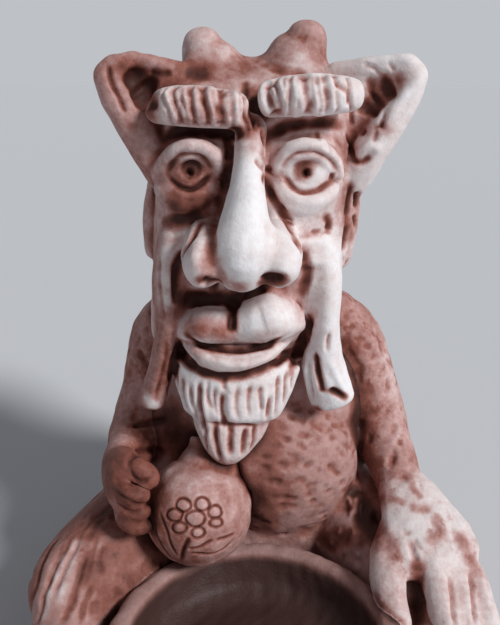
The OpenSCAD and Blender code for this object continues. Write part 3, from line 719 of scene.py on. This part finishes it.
# Pupils, each a place on the picture and a width in millimetres, and rings round an iris, each a place and
# two half widths on the picture
PUPILS = [(191, 169, 2.6), (304, 172, 3.3)]
IRISES = [(191, 170, 8.5, 8.5)]

HEAD_CUTS = BROW_RIDGES + EYE_CUTS + NOSE_CUTS + MOUTH_CUTS + HAIR_CUTS + BEARD_CUTS + EAR_CUTS

# Petals of the daisy, each a place and two half widths on the picture
DAISY_PETALS = [
    (183, 505, 7.5, 7.0), (202, 504, 7.5, 6.8), (215, 512, 7.0, 6.5), (216, 523, 6.5, 4.6),
    (198, 533, 7.0, 5.0), (179, 528, 7.5, 5.5), (174, 515, 7.5, 6.5), (195, 519, 10.0, 8.0)]

# Tool marks on the jug, the hands and the knee
JUG_CUTS = [
    (0.7, 0.7, 151, 507, 154, 525, 160, 542, 173, 561),
    (0.6, 0.6, 160, 513, 168, 536, 177, 557),
    (0.9, 0.9, 189, 537, 184, 549, 181, 561),
    (0.6, 0.6, 187, 549, 201, 546, 214, 540),
    (0.6, 0.6, 190, 553, 206, 554, 222, 550, 232, 541),
    (0.6, 0.5, 216, 540, 226, 538, 234, 533)]

HAND_CUTS = [
    (1.6, 1.3, 127, 470, 129, 459, 139, 452, 152, 450, 166, 453),
    (1.0, 0.8, 130, 470, 134, 478, 142, 482, 150, 479),
    (0.8, 0.8, 111, 487, 122, 497, 135, 504, 147, 505),
    (0.8, 0.7, 116, 502, 128, 511, 141, 513),
    (1.4, 1.6, 126, 424, 140, 424, 155, 422, 166, 420),
    (0.8, 0.6, 402, 530, 406, 533, 410, 531),
    (0.8, 0.6, 415, 538, 417, 545, 422, 550),
    (1.3, 1.0, 410, 540, 413, 552, 417, 562),
    (1.1, 1.2, 450, 578, 453, 597, 455, 624),
    (1.1, 1.2, 470, 572, 473, 595, 476, 624)]

# Softer dents of the fur
ARM_CUTS = [
    (1.3, 1.2, 136, 350, 146, 364, 154, 377, 148, 392),
    (1.0, 0.8, 155, 316, 158, 333, 160, 347),
    (1.2, 0.7, 346, 338, 349, 330, 355, 325),
    (1.4, 0.6, 356, 342, 361, 338, 365, 342),
    (1.2, 0.6, 371, 330, 379, 338, 388, 344),
    (2.0, 0.8, 370, 362, 376, 357, 380, 370),
    (1.4, 0.6, 385, 394, 391, 380),
    (1.4, 0.6, 383, 418, 390, 409),
    (1.4, 0.7, 391, 435, 397, 424),
    (1.2, 0.5, 396, 443, 404, 441),
    (1.4, 0.7, 390, 463, 396, 450),
    (1.3, 0.5, 350, 350, 356, 362, 366, 372),
    (1.3, 0.5, 344, 322, 349, 312, 356, 308),
    (1.2, 0.5, 386, 358, 393, 366, 396, 376),
    (1.2, 0.4, 430, 520, 441, 532, 450, 546)]

BELLY_CUTS = [
    (1.0, -0.8, 349, 498, 352, 508, 350, 518),
    (1.0, -0.8, 356, 500, 355, 512),
    (1.0, -0.8, 361, 502, 360, 516),
    (4.0, -1.5, 350, 540, 362, 545),
    (1.6, -0.9, 338, 531, 341, 533),
    (1.5, -0.8, 352, 532, 355, 529),
    (1.5, -0.8, 364, 536, 367, 539),
    (1.6, -0.9, 344, 548, 348, 552),
    (1.4, -0.8, 358, 554, 362, 556),
    (1.4, -0.7, 330, 543, 334, 545),
    (2.2, -0.5, 298, 541, 306, 542),
    (1.8, -0.5, 316, 544, 322, 545),
    (2.0, -0.5, 336, 553, 343, 556),
    (2.0, -0.5, 354, 565, 360, 571),
    (1.6, 1.0, 267, 484, 274, 482, 281, 484),
    (1.2, 0.6, 310, 502, 316, 501),
    (1.3, 0.7, 327, 467, 334, 471, 341, 477),
    (1.3, 0.5, 311, 425, 317, 420),
    (1.5, 0.6, 317, 441, 320, 436),
    (1.5, 0.6, 330, 441, 334, 435),
    (1.3, 0.5, 339, 431, 343, 424),
    (1.3, 0.5, 304, 467, 310, 465),
    (1.8, 0.6, 277, 462, 292, 465, 306, 460),
    (1.3, 0.5, 316, 472, 321, 469),
    (1.4, 0.5, 277, 508, 288, 506, 297, 508),
    (1.4, 0.5, 270, 497, 282, 498, 290, 496),
    (1.3, 0.5, 307, 496, 312, 495),
    (1.5, 0.6, 318, 516, 326, 513),
    (1.3, 0.5, 348, 457, 350, 445, 347, 436),
    (1.4, 0.5, 290, 484, 300, 480, 306, 484)]

KNEE_CUTS = [
    (1.2, 0.9, 58, 538, 46, 556, 37, 580, 31, 604, 27, 624),
    (1.1, 0.8, 62, 547, 55, 563, 47, 583, 42, 604, 38, 624),
    (1.1, 0.8, 84, 530, 75, 547, 67, 563, 58, 584, 54, 600),
    (1.5, 1.1, 88, 546, 82, 568, 76, 588, 69, 608, 62, 624),
    (1.2, 0.7, 93, 585, 85, 604, 80, 624),
    (1.1, 0.7, 112, 506, 95, 517, 82, 531),
    (1.0, 0.5, 104, 545, 99, 560, 104, 576),
    (1.0, 0.5, 72, 536, 64, 552, 52, 574, 46, 594),
    (1.0, 0.5, 98, 536, 92, 552, 88, 572, 82, 590)]

FUR_CUTS = ARM_CUTS + BELLY_CUTS

# Locks of hair on the back of the head and hollows of the back, drawn from behind in millimetres
LOCKS = [
    (1.6, 1.1, x, 140, 0.95 * x + 1.5, 126, x - 1.5, 112, 0.9 * x + 1, 98, 0.8 * x, 86)
    for x in (-20, -14, -8, -2, 4, 10, 16)]
BACK_CUTS = [
    (3.5, 1.2, 0, 18, 0.5, 30, 0, 46, -0.5, 62),
    (2.2, 1.4, 0, 8, 0, 18),
    (7.0, -1.2, -15, 54, -17, 64),
    (7.0, -1.2, 15, 54, 17, 64),
    (5.0, 0.8, -11, 28, -10, 31),
    (5.0, 0.8, 11, 28, 10, 31)]

# Stain rubbed into the clay, and painted shade and light laid on the same way, each a width in millimetres,
# a tone that is darker above zero, and then x and y of each point of a line on the picture
HEAD_STAIN_AND_SHADE = [
    (6.0, 0.34, 205, 76, 230, 70, 252, 64),
    (4.0, 0.5, 186, 66, 196, 72, 204, 70),
    (3.2, 0.45, 172, 80, 190, 84),
    (2.6, 0.14, 264, 63, 282, 70, 300, 73, 316, 78),
    (3.0, 0.36, 298, 33, 308, 38),
    (3.5, 0.5, 252, 94, 254, 110, 254, 130),
    # painted shadow under the two brows
    (2.4, 0.7, 168, 138, 176, 131, 195, 129, 222, 131, 248, 134),
    (2.2, 0.34, 266, 140, 277, 130, 300, 123, 322, 122, 340, 125),
    (3.0, 0.42, 178, 170, 190, 173, 204, 172),
    (3.4, -0.08, 293, 172, 304, 181, 318, 174, 326, 170),
    # painted shade under the eye on the left of the picture
    (4.5, 0.66, 170, 203, 186, 206, 203, 200),
    (2.0, 0.7, 164, 222, 185, 219, 202, 210, 212, 201),
    (2.4, 0.4, 228, 150, 229, 168, 224, 188, 217, 203),
    # painted shade on the right side of the nose bridge
    (2.6, 0.3, 266, 140, 263, 156, 268, 170),
    # painted shadow of the brow at the top of the nose
    (3.0, 0.46, 259, 112, 263, 122, 265, 134),
    (5.0, 0.14, 300, 66, 320, 72, 336, 70),
    (4.0, 0.14, 166, 232, 178, 236, 176, 250),
    (2.0, 0.42, 264, 176, 270, 192, 280, 208, 290, 226, 298, 240, 305, 256, 308, 272, 304, 290),
    (7.0, 0.04, 292, 212, 312, 214, 334, 210),
    (6.0, 0.0, 318, 240, 326, 262, 328, 300, 324, 330),
    (1.6, 0.34, 326, 217, 329, 222, 328, 230),
    (4.5, 0.26, 158, 150, 160, 180, 160, 205),
    (4.0, 0.05, 164, 250, 165, 275, 165, 300),
    (2.6, 0.3, 214, 222, 211, 245, 207, 266),
    (3.0, 0.08, 200, 238, 194, 254, 197, 268),
    # painted shade at the lower left of the nose bulb
    (4.0, 0.3, 212, 268, 222, 280, 238, 288),
    (1.8, 0.45, 202, 222, 191, 238, 183, 252),
    (2.2, 0.45, 178, 262, 177, 280, 178, 300),
    (2.2, 0.6, 202, 281, 214, 284),
    # painted shadow under the nose
    (3.2, 0.8, 184, 298, 203, 300, 224, 299, 240, 298, 256, 291, 268, 283, 280, 282),
    (2.2, 0.75, 234, 303, 233, 316, 232, 326),
    # painted shade on the left lobe of the upper lip
    (4.0, 0.5, 190, 329, 208, 331, 226, 334),
    # painted light on the right lobe of the upper lip
    (4.0, -0.1, 250, 326, 268, 316, 284, 314),
    (1.9, 0.72, 188, 337, 203, 346, 220, 350, 240, 351, 260, 347, 276, 340),
    (2.6, 0.25, 190, 346, 199, 354),
    (2.2, 0.7, 178, 345, 186, 361, 200, 371, 222, 377, 245, 375, 265, 368, 286, 356),
    (2.6, 0.42, 310, 322, 303, 340, 296, 356, 291, 372),
    (2.2, 0.7, 301, 370, 301, 388, 303, 404, 318, 409),
    (1.6, 0.6, 316, 358, 319, 376, 322, 390),
    (1.8, 0.7, 331, 391, 338, 393, 345, 397),
    (2.2, 0.6, 176, 350, 172, 374, 169, 396, 172, 414),
    # painted shade in the hollows of the ear on the left of the picture
    (4.0, 0.56, 124, 69, 140, 78, 158, 86),
    (4.0, 0.56, 136, 82, 146, 96, 149, 112),
    (3.8, 0.28, 395, 82, 381, 90, 371, 104, 367, 116),
    # painted shade on the side of the face beside that ear
    (3.0, 0.3, 142, 132, 150, 150, 156, 176),
    (3.0, 0.3, 350, 138, 352, 160),
    (3.0, 0.26, 362, 132, 386, 128),
    (2.4, 0.45, 348, 188, 347, 210, 350, 236),
    (2.4, 0.35, 357, 196, 357, 226),
    (2.6, 0.02, 146, 398, 154, 407),
    (4.5, 0.2, 240, 145, 250, 146)]

# Stain on the body and the dish, with painted shade and light laid on the same way
BODY_STAIN_AND_SHADE = [
    # painted shade in the gap between the belly and the arm on the right of the picture, and down that arm
    (6.0, 0.46, 352, 352, 358, 380, 363, 410, 368, 440, 374, 470, 380, 500),
    (8.0, 0.2, 385, 350, 396, 400, 398, 440),
    (5.0, 0.6, 356, 420, 362, 440, 366, 458),
    (5.0, 0.55, 360, 505, 372, 525, 380, 540),
    # painted shade on the shoulder and arm on the left of the picture, turned from the lamp
    (9.0, 0.3, 150, 310, 143, 340, 142, 380),
    (8.0, 0.26, 124, 400, 118, 440),
    (7.0, 0.2, 268, 440, 268, 470, 274, 505),
    # painted shade under the beard, on the neck of the jug
    (8.0, 0.45, 170, 420, 180, 440, 194, 462),
    (6.0, 0.4, 258, 500, 262, 525),
    (7.0, -0.05, 40, 612, 47, 588, 60, 562),
    (6.0, 0.0, 72, 618, 78, 590, 90, 562, 98, 545),
    (4.0, 0.14, 86, 574, 92, 582),
    (5.0, 0.26, 116, 506, 104, 518, 92, 530),
    # painted shade in the gap between the belly and the arm
    (4.0, 0.6, 353, 494, 360, 508, 366, 522),
    # painted shade in the crevice between the belly and the dish rim
    (4.0, 0.3, 326, 540, 342, 536, 356, 538),
    (1.8, 0.42, 376, 596, 386, 610, 400, 624),
    (2.0, -0.2, 60, 560, 50, 590, 44, 615),
    (2.5, -0.2, 75, 545, 66, 575, 60, 600),
    (1.2, -0.05, 349, 498, 352, 508, 350, 518),
    (1.2, -0.05, 356, 500, 355, 512),
    (4.0, 0.26, 90, 575, 104, 560, 112, 552),
    (1.6, 0.3, 408, 478, 414, 490, 420, 496),
    (1.8, 0.3, 396, 500, 401, 502),
    (2.2, 0.3, 414, 508, 426, 509),
    (2.4, 0.3, 437, 518, 441, 530, 430, 540),
    (3.0, 0.28, 462, 540, 468, 555, 476, 568),
    (2.6, 0.26, 386, 540, 394, 554),
    (4.0, 0.3, 395, 470, 408, 474),
    (3.0, 0.6, 417, 568, 418, 590, 418, 620)]

# Stain on the jug, with painted shade laid on the same way
JUG_STAIN_AND_SHADE = [
    # painted shade down the side of the jug turned from the lamp
    (9.0, 0.5, 154, 500, 160, 525, 172, 552),
    (7.0, 0.3, 226, 490, 236, 505, 236, 525)]


# Making of the figure

def work(tool, strokes, **how):
    """Works a tool along each of the strokes."""
    for wide, much, *flat in strokes:
        tool(list(zip(flat[::2], flat[1::2])), wide, much, **how)


def build_camera():
    bpy.ops.object.camera_add(location=CAMERA_AT, rotation=(math.pi / 2 - CAMERA_PITCH, 0, 0))
    camera = bpy.context.active_object
    camera.name = "camera"
    camera.data.sensor_width = SENSOR_W
    camera.data.lens = SENSOR_W * FOCAL_PIXELS / PICTURE_H
    camera.data.clip_start = NEAR_CLIP
    bpy.context.scene.camera = camera


def mark_contact_shade(skin, other, reach):
    """Painted shade, laid into the wash layer, where this skin comes close to the other one."""
    low = other.at.min(0) - reach * MM
    high = other.at.max(0) + reach * MM
    for i in np.nonzero(np.all((skin.at > low) & (skin.at < high), axis=1))[0]:
        gap = other.tree.find_nearest(skin.at[i], reach * MM)[3]
        if gap is not None:
            skin.wash[i] = max(skin.wash[i], 0.9 * (1 - gap / (reach * MM)))


def gather_wash(skin, share):
    """Adds a share of wash that lies in hollows and comes off what stands out, with a soft edge."""
    halo = skin.net.soften(skin.wash, int(60 / COARSE ** 2))
    fine = np.clip(skin.hollowness(3) / 0.05, -0.4, 1)
    middle = np.clip(skin.hollowness(16) / 0.14, -0.3, 1)
    broad = np.clip(skin.hollowness(120) / 0.45, -0.35, 1)
    wash = 0.5 * skin.wash + 0.5 * halo + share * (0.1 * fine + 0.22 * middle + 0.34 * broad)
    skin.wash = skin.net.soften(wash, 2)


def set_values(mesh, name, values):
    attribute = mesh.attributes.new(name, "FLOAT", "POINT")
    attribute.data.foreach_set("value", values.astype(np.float32))


class Fit:
    """Where each point of a piece lies on the skin as first joined, and how closely it follows it."""

    def __init__(self, piece, skin):
        mesh = piece.data
        self.mesh = mesh
        self.skin = skin
        self.count = len(mesh.vertices)
        self.at = read(mesh.vertices, "co", 3).astype(float)
        normal = read(mesh.vertex_normals, "vector", 3)
        self.place = self.at.copy()
        which = np.zeros(self.count, int)
        gap = np.full(self.count, FOLLOW_FAR)
        agree = np.zeros(self.count)
        for i in range(self.count):
            place, facing, index, distance = skin.base_tree.find_nearest(self.at[i], FOLLOW_FAR * MM)
            if place is not None:
                self.place[i] = place
                which[i] = index
                gap[i] = distance / MM
                agree[i] = facing.dot(normal[i])
        self.corners = skin.triangles[which]
        a, b, c = (skin.base[self.corners[:, k]] for k in range(3))
        whole = length_of(np.cross(b - a, c - a)) + 1e-18
        share_b = length_of(np.cross(self.place - a, c - a)) / whole
        share_c = length_of(np.cross(self.place - a, b - a)) / whole
        self.shares = np.stack([1 - share_b - share_c, share_b, share_c], axis=1)
        shut = np.clip((FOLLOW_NEAR - gap) / (FOLLOW_NEAR - SEAM), 0, 1)
        follow = np.clip((FOLLOW_FAR - gap) / (FOLLOW_FAR - FOLLOW_NEAR), 0, 1)
        follow = follow * np.maximum(np.clip(2 * agree, 0, 1), shut)
        self.follow = follow * follow * (3 - 2 * follow)

    def taken(self, values):
        """Values of the skin at the piece's points."""
        if values.ndim == 1:
            return row_dots(self.shares, values[self.corners])
        return np.einsum("ij,ijk->ik", self.shares, values[self.corners])

    def dress(self, mottle):
        """Gives the piece the modelled surface, and the wash, stain and painted shade and light of the skin
        where it lies on it.
        """
        skin = self.skin
        moved = self.follow[:, None] * self.taken(skin.at - skin.base)
        moved += np.minimum(self.follow, SEAM_LIFT)[:, None] * (self.place - self.at)
        net = Net(self.mesh)
        hidden = (1 - self.follow)[:, None]
        for _ in range(HIDDEN_ROUNDS):
            moved += hidden * (net.average(moved) - moved)
        at = self.at + moved
        net.take_off_burrs(at)
        at[:, 2] = np.maximum(at[:, 2], 0)
        self.mesh.vertices.foreach_set("co", at.astype(np.float32).ravel())
        self.mesh.update()
        normal = read(self.mesh.vertex_normals, "vector", 3)
        normal = hidden * normal + (1 - hidden) * self.taken(skin.normal)
        normal /= length_of(normal)[:, None] + 1e-9
        self.mesh.normals_split_custom_set_from_vertices(normal.tolist())
        set_values(self.mesh, "wash", self.taken(skin.wash))
        set_values(self.mesh, "stain_and_shade", self.taken(skin.stain_and_shade))
        set_values(self.mesh, "mottle", np.full(self.count, mottle))


def tint_skin(skin, fits):
    """Lays each piece's own stain, and the painted shade of the pieces turned from the lamp, on the skin,
    with soft edges from piece to piece.
    """
    total = np.zeros(skin.count)
    weight = np.full(skin.count, 1e-9)
    for name, fit in fits.items():
        sure = fit.corners[fit.follow > 0.9].ravel()
        found = np.bincount(sure, minlength=skin.count)
        total += TINT_AND_SHADE_OF.get(name, 0) * found
        weight += found
    rounds = int(TINT_ROUNDS / COARSE ** 2)
    skin.stain_and_shade += skin.net.soften(total, rounds) / skin.net.soften(weight, rounds)


def points_of(fit):
    """Marks the points of the skin that one piece lies on."""
    marks = np.zeros(fit.skin.count, bool)
    marks[fit.corners[fit.follow > 0.9].ravel()] = True
    return marks


def faces_away(skin):
    """Marks the points of the skin that are turned from the camera."""
    return row_dots(np.array(CAMERA_AT) - skin.at, skin.normal) < 0


def tone_dish(skin, dish):
    """Darkens the hollow of the dish and pales its rim."""
    out = np.hypot(skin.at[:, 0], skin.at[:, 1] - DISH_Y * MM) / MM
    rim = np.clip((skin.at[:, 2] / MM - DISH_RIM) / 2, 0, 1)
    hollow = np.clip(DISH_HOLLOW - out, 0, 1) * (1 - rim)
    skin.stain_and_shade[dish] += (HOLLOW_DARKENING * hollow + RIM_PALING * rim)[dish]


def split_hooves(skin):
    """A groove down the middle of each hoof."""
    long, wide, deep = HOOF_SPLIT
    for side in (-1, 1):
        top = Vector((side * HOOF_TOP[0], HOOF_TOP[1], HOOF_TOP[2])) * MM
        place, normal, _, _ = skin.tree.find_nearest(top)
        places, normals = skin.walk(place, normal, Vector((0, -1, -0.5)), long)
        near, strength = skin.touch(np.array(places), np.array(normals), wide, 0.2)
        skin.carve(near, strength, deep, GROOVE_WASH)


# Finishes

class Nodes:
    """Shader nodes of one material, joined by name."""

    def __init__(self, name):
        self.material = bpy.data.materials.new(name)
        self.material.use_nodes = True
        self.tree = self.material.node_tree
        self.shader = self.tree.nodes["Principled BSDF"]

    def add(self, kind, **settings):
        node = self.tree.nodes.new(kind)
        for key, value in settings.items():
            setattr(node, key, value)
        return node

    def join(self, source, target):
        self.tree.links.new(source, target)

    def math(self, operation, a, b):
        node = self.add("ShaderNodeMath", operation=operation)
        for socket, value in zip(node.inputs, (a, b)):
            if isinstance(value, (int, float)):
                socket.default_value = value
            else:
                self.join(value, socket)
        return node.outputs[0]

    def noise(self, scale, detail, roughness=0.6):
        """Noise on the object's own coordinates, about zero."""
        node = self.add("ShaderNodeTexNoise")
        node.inputs["Scale"].default_value = scale
        node.inputs["Detail"].default_value = detail
        node.inputs["Roughness"].default_value = roughness
        self.join(self.place, node.inputs["Vector"])
        return self.math("SUBTRACT", node.outputs["Fac"], 0.5)

    def attribute(self, name):
        return self.add("ShaderNodeAttribute", attribute_name=name).outputs["Fac"]


def srgb(red, green, blue):
    """A colour as it shows on screen, 0 to 255, as a linear one."""
    return [((v / 255 + 0.055) / 1.055) ** 2.4 for v in (red, green, blue)] + [1.0]


CLAY_TONES = [
    (0.0, srgb(242, 240, 242)), (0.22, srgb(228, 213, 211)), (0.42, srgb(192, 152, 147)),
    (0.62, srgb(146, 90, 78)), (0.82, srgb(98, 55, 46)), (1.0, srgb(66, 35, 29))]


def clay_finish(name, ground, patchy, shine, redness):
    """Fired clay with a dark wash rubbed into its hollows and stains on it, and with the painted shade and
    light that its wash and stain layers also carry.
    """
    nodes = Nodes(name)
    nodes.place = nodes.add("ShaderNodeTexCoord").outputs["Object"]
    blotch = nodes.math("MULTIPLY", nodes.noise(*BLOTCH_NOISE), patchy)
    cloud = nodes.math("MULTIPLY", nodes.noise(*CLOUD_NOISE), patchy * 0.6)
    smudge = nodes.math("MULTIPLY", nodes.noise(*SMUDGE_NOISE), patchy * 0.7)
    patch = nodes.math("MULTIPLY", nodes.math("SUBTRACT", nodes.noise(*PATCH_NOISE), 0.05), 7)
    patch = nodes.math("MINIMUM", nodes.math("MAXIMUM", patch, 0), 1)
    mottle = nodes.math("MULTIPLY", nodes.attribute("mottle"), patchy * 0.5)
    patch = nodes.math("MULTIPLY", patch, mottle)
    wash = nodes.math("MULTIPLY", nodes.attribute("wash"), 0.75)
    tone = nodes.math("ADD", wash, nodes.attribute("stain_and_shade"))
    for uneven in (blotch, cloud, smudge, patch):
        tone = nodes.math("ADD", tone, uneven)
    tone = nodes.math("ADD", tone, ground)
    ramp = nodes.add("ShaderNodeValToRGB")
    stops = ramp.color_ramp.elements
    while len(stops) < len(CLAY_TONES):
        stops.new(0.5)
    for stop, (position, colour) in zip(stops, CLAY_TONES):
        stop.position = position
        stop.color = colour
    nodes.join(tone, ramp.inputs["Fac"])
    fired = nodes.add("ShaderNodeHueSaturation")
    fired.inputs["Saturation"].default_value = redness
    nodes.join(ramp.outputs["Color"], fired.inputs["Color"])
    nodes.join(fired.outputs["Color"], nodes.shader.inputs["Base Color"])
    rough_grain = nodes.math("MULTIPLY", nodes.noise(*ROUGH_NOISE), 1.5)
    grain = nodes.math("ADD", nodes.noise(*FINE_NOISE), rough_grain)
    bump = nodes.add("ShaderNodeBump")
    bump.inputs["Strength"].default_value = 0.35
    bump.inputs["Distance"].default_value = 0.25 * MM
    nodes.join(grain, bump.inputs["Height"])
    nodes.join(bump.outputs["Normal"], nodes.shader.inputs["Normal"])
    rough = nodes.math("ADD", nodes.math("MULTIPLY", blotch, 0.5), 0.62 - shine)
    nodes.join(rough, nodes.shader.inputs["Roughness"])
    nodes.shader.inputs["Specular IOR Level"].default_value = 0.2
    return nodes.material


def plain_finish(name, colour, roughness):
    nodes = Nodes(name)
    nodes.shader.inputs["Base Color"].default_value = colour
    nodes.shader.inputs["Roughness"].default_value = roughness
    return nodes.material


def build_stage():
    """A wide pale floor."""
    deselect()
    bpy.ops.mesh.primitive_plane_add(size=12, location=(0, 0, 0))
    floor = bpy.context.active_object
    floor.name = "floor"
    floor.data.materials.append(plain_finish("pale_floor", srgb(*FLOOR_COLOUR), 0.9))


def build_light():
    """One soft lamp from the right, and a pale room."""
    bpy.ops.object.light_add(type="SUN", location=KEY_FROM)
    key = bpy.context.active_object
    key.name = "key"
    key.rotation_euler = Vector(KEY_FROM).to_track_quat("Z", "Y").to_euler()
    key.data.energy = KEY_POWER
    key.data.angle = math.radians(KEY_SOFT)
    world = bpy.data.worlds.new("studio")
    bpy.context.scene.world = world
    world.use_nodes = True
    tree = world.node_tree
    room = tree.nodes["Background"]
    room.inputs["Color"].default_value = ROOM_COLOUR
    room.inputs["Strength"].default_value = ROOM_POWER
    wall = tree.nodes.new("ShaderNodeBackground")
    wall.inputs["Color"].default_value = srgb(*WALL_COLOUR)
    path = tree.nodes.new("ShaderNodeLightPath")
    mix = tree.nodes.new("ShaderNodeMixShader")
    seen = path.outputs["Is Camera Ray"]
    for ray in ("Is Glossy Ray", "Is Transmission Ray"):
        either = tree.nodes.new("ShaderNodeMath")
        either.operation = "MAXIMUM"
        tree.links.new(seen, either.inputs[0])
        tree.links.new(path.outputs[ray], either.inputs[1])
        seen = either.outputs[0]
    tree.links.new(seen, mix.inputs[0])
    tree.links.new(room.outputs[0], mix.inputs[1])
    tree.links.new(wall.outputs[0], mix.inputs[2])
    tree.links.new(mix.outputs[0], tree.nodes["World Output"].inputs["Surface"])


build_camera()
bpy.context.scene.view_settings.view_transform = "Standard"
pieces = {name: rough_piece(name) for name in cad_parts}
head_skin = Skin([pieces[name] for name in HEAD_PIECES], HEAD_SKIN_GRAIN)
body_skin = Skin([pieces[name] for name in BODY_PIECES], BODY_SKIN_GRAIN)
jug_skin = Skin([pieces["jug"]], JUG_SKIN_GRAIN)
fits = {}
for skin, names in ((head_skin, HEAD_PIECES), (body_skin, BODY_PIECES), (jug_skin, ["jug"])):
    own = {name: Fit(pieces[name], skin) for name in names}
    tint_skin(skin, own)
    fits.update(own)
head_skin.lute(HEAD_LUTE)
body_skin.lute(BODY_LUTE)
work(head_skin.fill, HEAD_FILLS)
head_skin.refresh()
work(body_skin.fill, BODY_FILLS)
body_skin.refresh()
work(head_skin.cut, HEAD_CUTS)
work(head_skin.cut_through, BROW_CUTS, over=BROW_OVER)
for x, y, wide in PUPILS:
    head_skin.cut([(x, y)], wide, PUPIL_DEEP, wash=0)
for x, y, across, up in IRISES:
    head_skin.cut(circle(x, y, across, up), *IRIS_RING, ends=0)
work(head_skin.cut, LOCKS, behind=True)
work(body_skin.cut, HAND_CUTS + KNEE_CUTS)
work(body_skin.cut, FUR_CUTS, wash=FUR_WASH)
work(body_skin.cut, BACK_CUTS, behind=True)
work(jug_skin.cut, JUG_CUTS)
for x, y, across, up in DAISY_PETALS:
    jug_skin.cut([(x, y)], *PETAL_SWELL, wash=0)
    jug_skin.cut(circle(x, y, across, up), *PETAL_RING, ends=0)
work(head_skin.paint, HEAD_STAIN_AND_SHADE)
for x, y, wide in PUPILS:
    head_skin.paint([(x, y)], wide, PUPIL_TONE)
work(body_skin.paint, BODY_STAIN_AND_SHADE)
work(jug_skin.paint, JUG_STAIN_AND_SHADE)
split_hooves(body_skin)
tone_dish(body_skin, points_of(fits["dish"]))
head_skin.knead(HEAD_KNEAD, seed=3)
body_skin.knead(BODY_KNEAD, seed=4)
jug_skin.knead(JUG_KNEAD, seed=8)
head_behind = points_of(fits["head"]) & faces_away(head_skin)
body_behind = faces_away(body_skin) & (body_skin.at[:, 2] > BACK_FUR_FROM * MM)
body_behind &= ~points_of(fits["dish"])
head_skin.comb(head_behind, HAIR_COUNT, HAIR_STROKE, HAIR_WASH, seed=5)
body_skin.comb(body_behind, BACK_COUNT, BACK_STROKE, FUR_WASH, seed=6)
for name, count in LIMB_COUNT_OF.items():
    body_skin.comb(points_of(fits[name]), count, LIMB_STROKE, FUR_WASH, seed=7)
body_skin.comb(points_of(fits["belly"]), BELLY_COUNT, BELLY_STROKE, FUR_WASH, seed=9, towards=BELLY_LEAN)
skins = (head_skin, body_skin, jug_skin)
for skin in skins:
    skin.settle()
# Painted shade where the head, the body and the jug come close to each other
for skin in skins:
    for other in skins:
        if other is not skin:
            mark_contact_shade(skin, other, CONTACT_SHADE_REACH)
gather_wash(head_skin, HEAD_WASH_SHARE)
gather_wash(body_skin, BODY_WASH_SHARE)
gather_wash(jug_skin, JUG_WASH_SHARE)

finishes = {slot: clay_finish(slot, *settings) for slot, settings in FINISH_OF.items()}
for name, piece in pieces.items():
    slot = SLOT_OF.get(name, "pale_clay")
    piece.data.materials.clear()
    piece.data.materials.append(finishes[slot])
    activate(piece)
    bpy.ops.object.shade_smooth()
    fits[name].dress(MOTTLE_OF.get(name, MOTTLE))
    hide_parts(name)
    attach(piece, "root")
for skin in skins:
    bpy.data.objects.remove(skin.obj)

build_stage()
build_light()
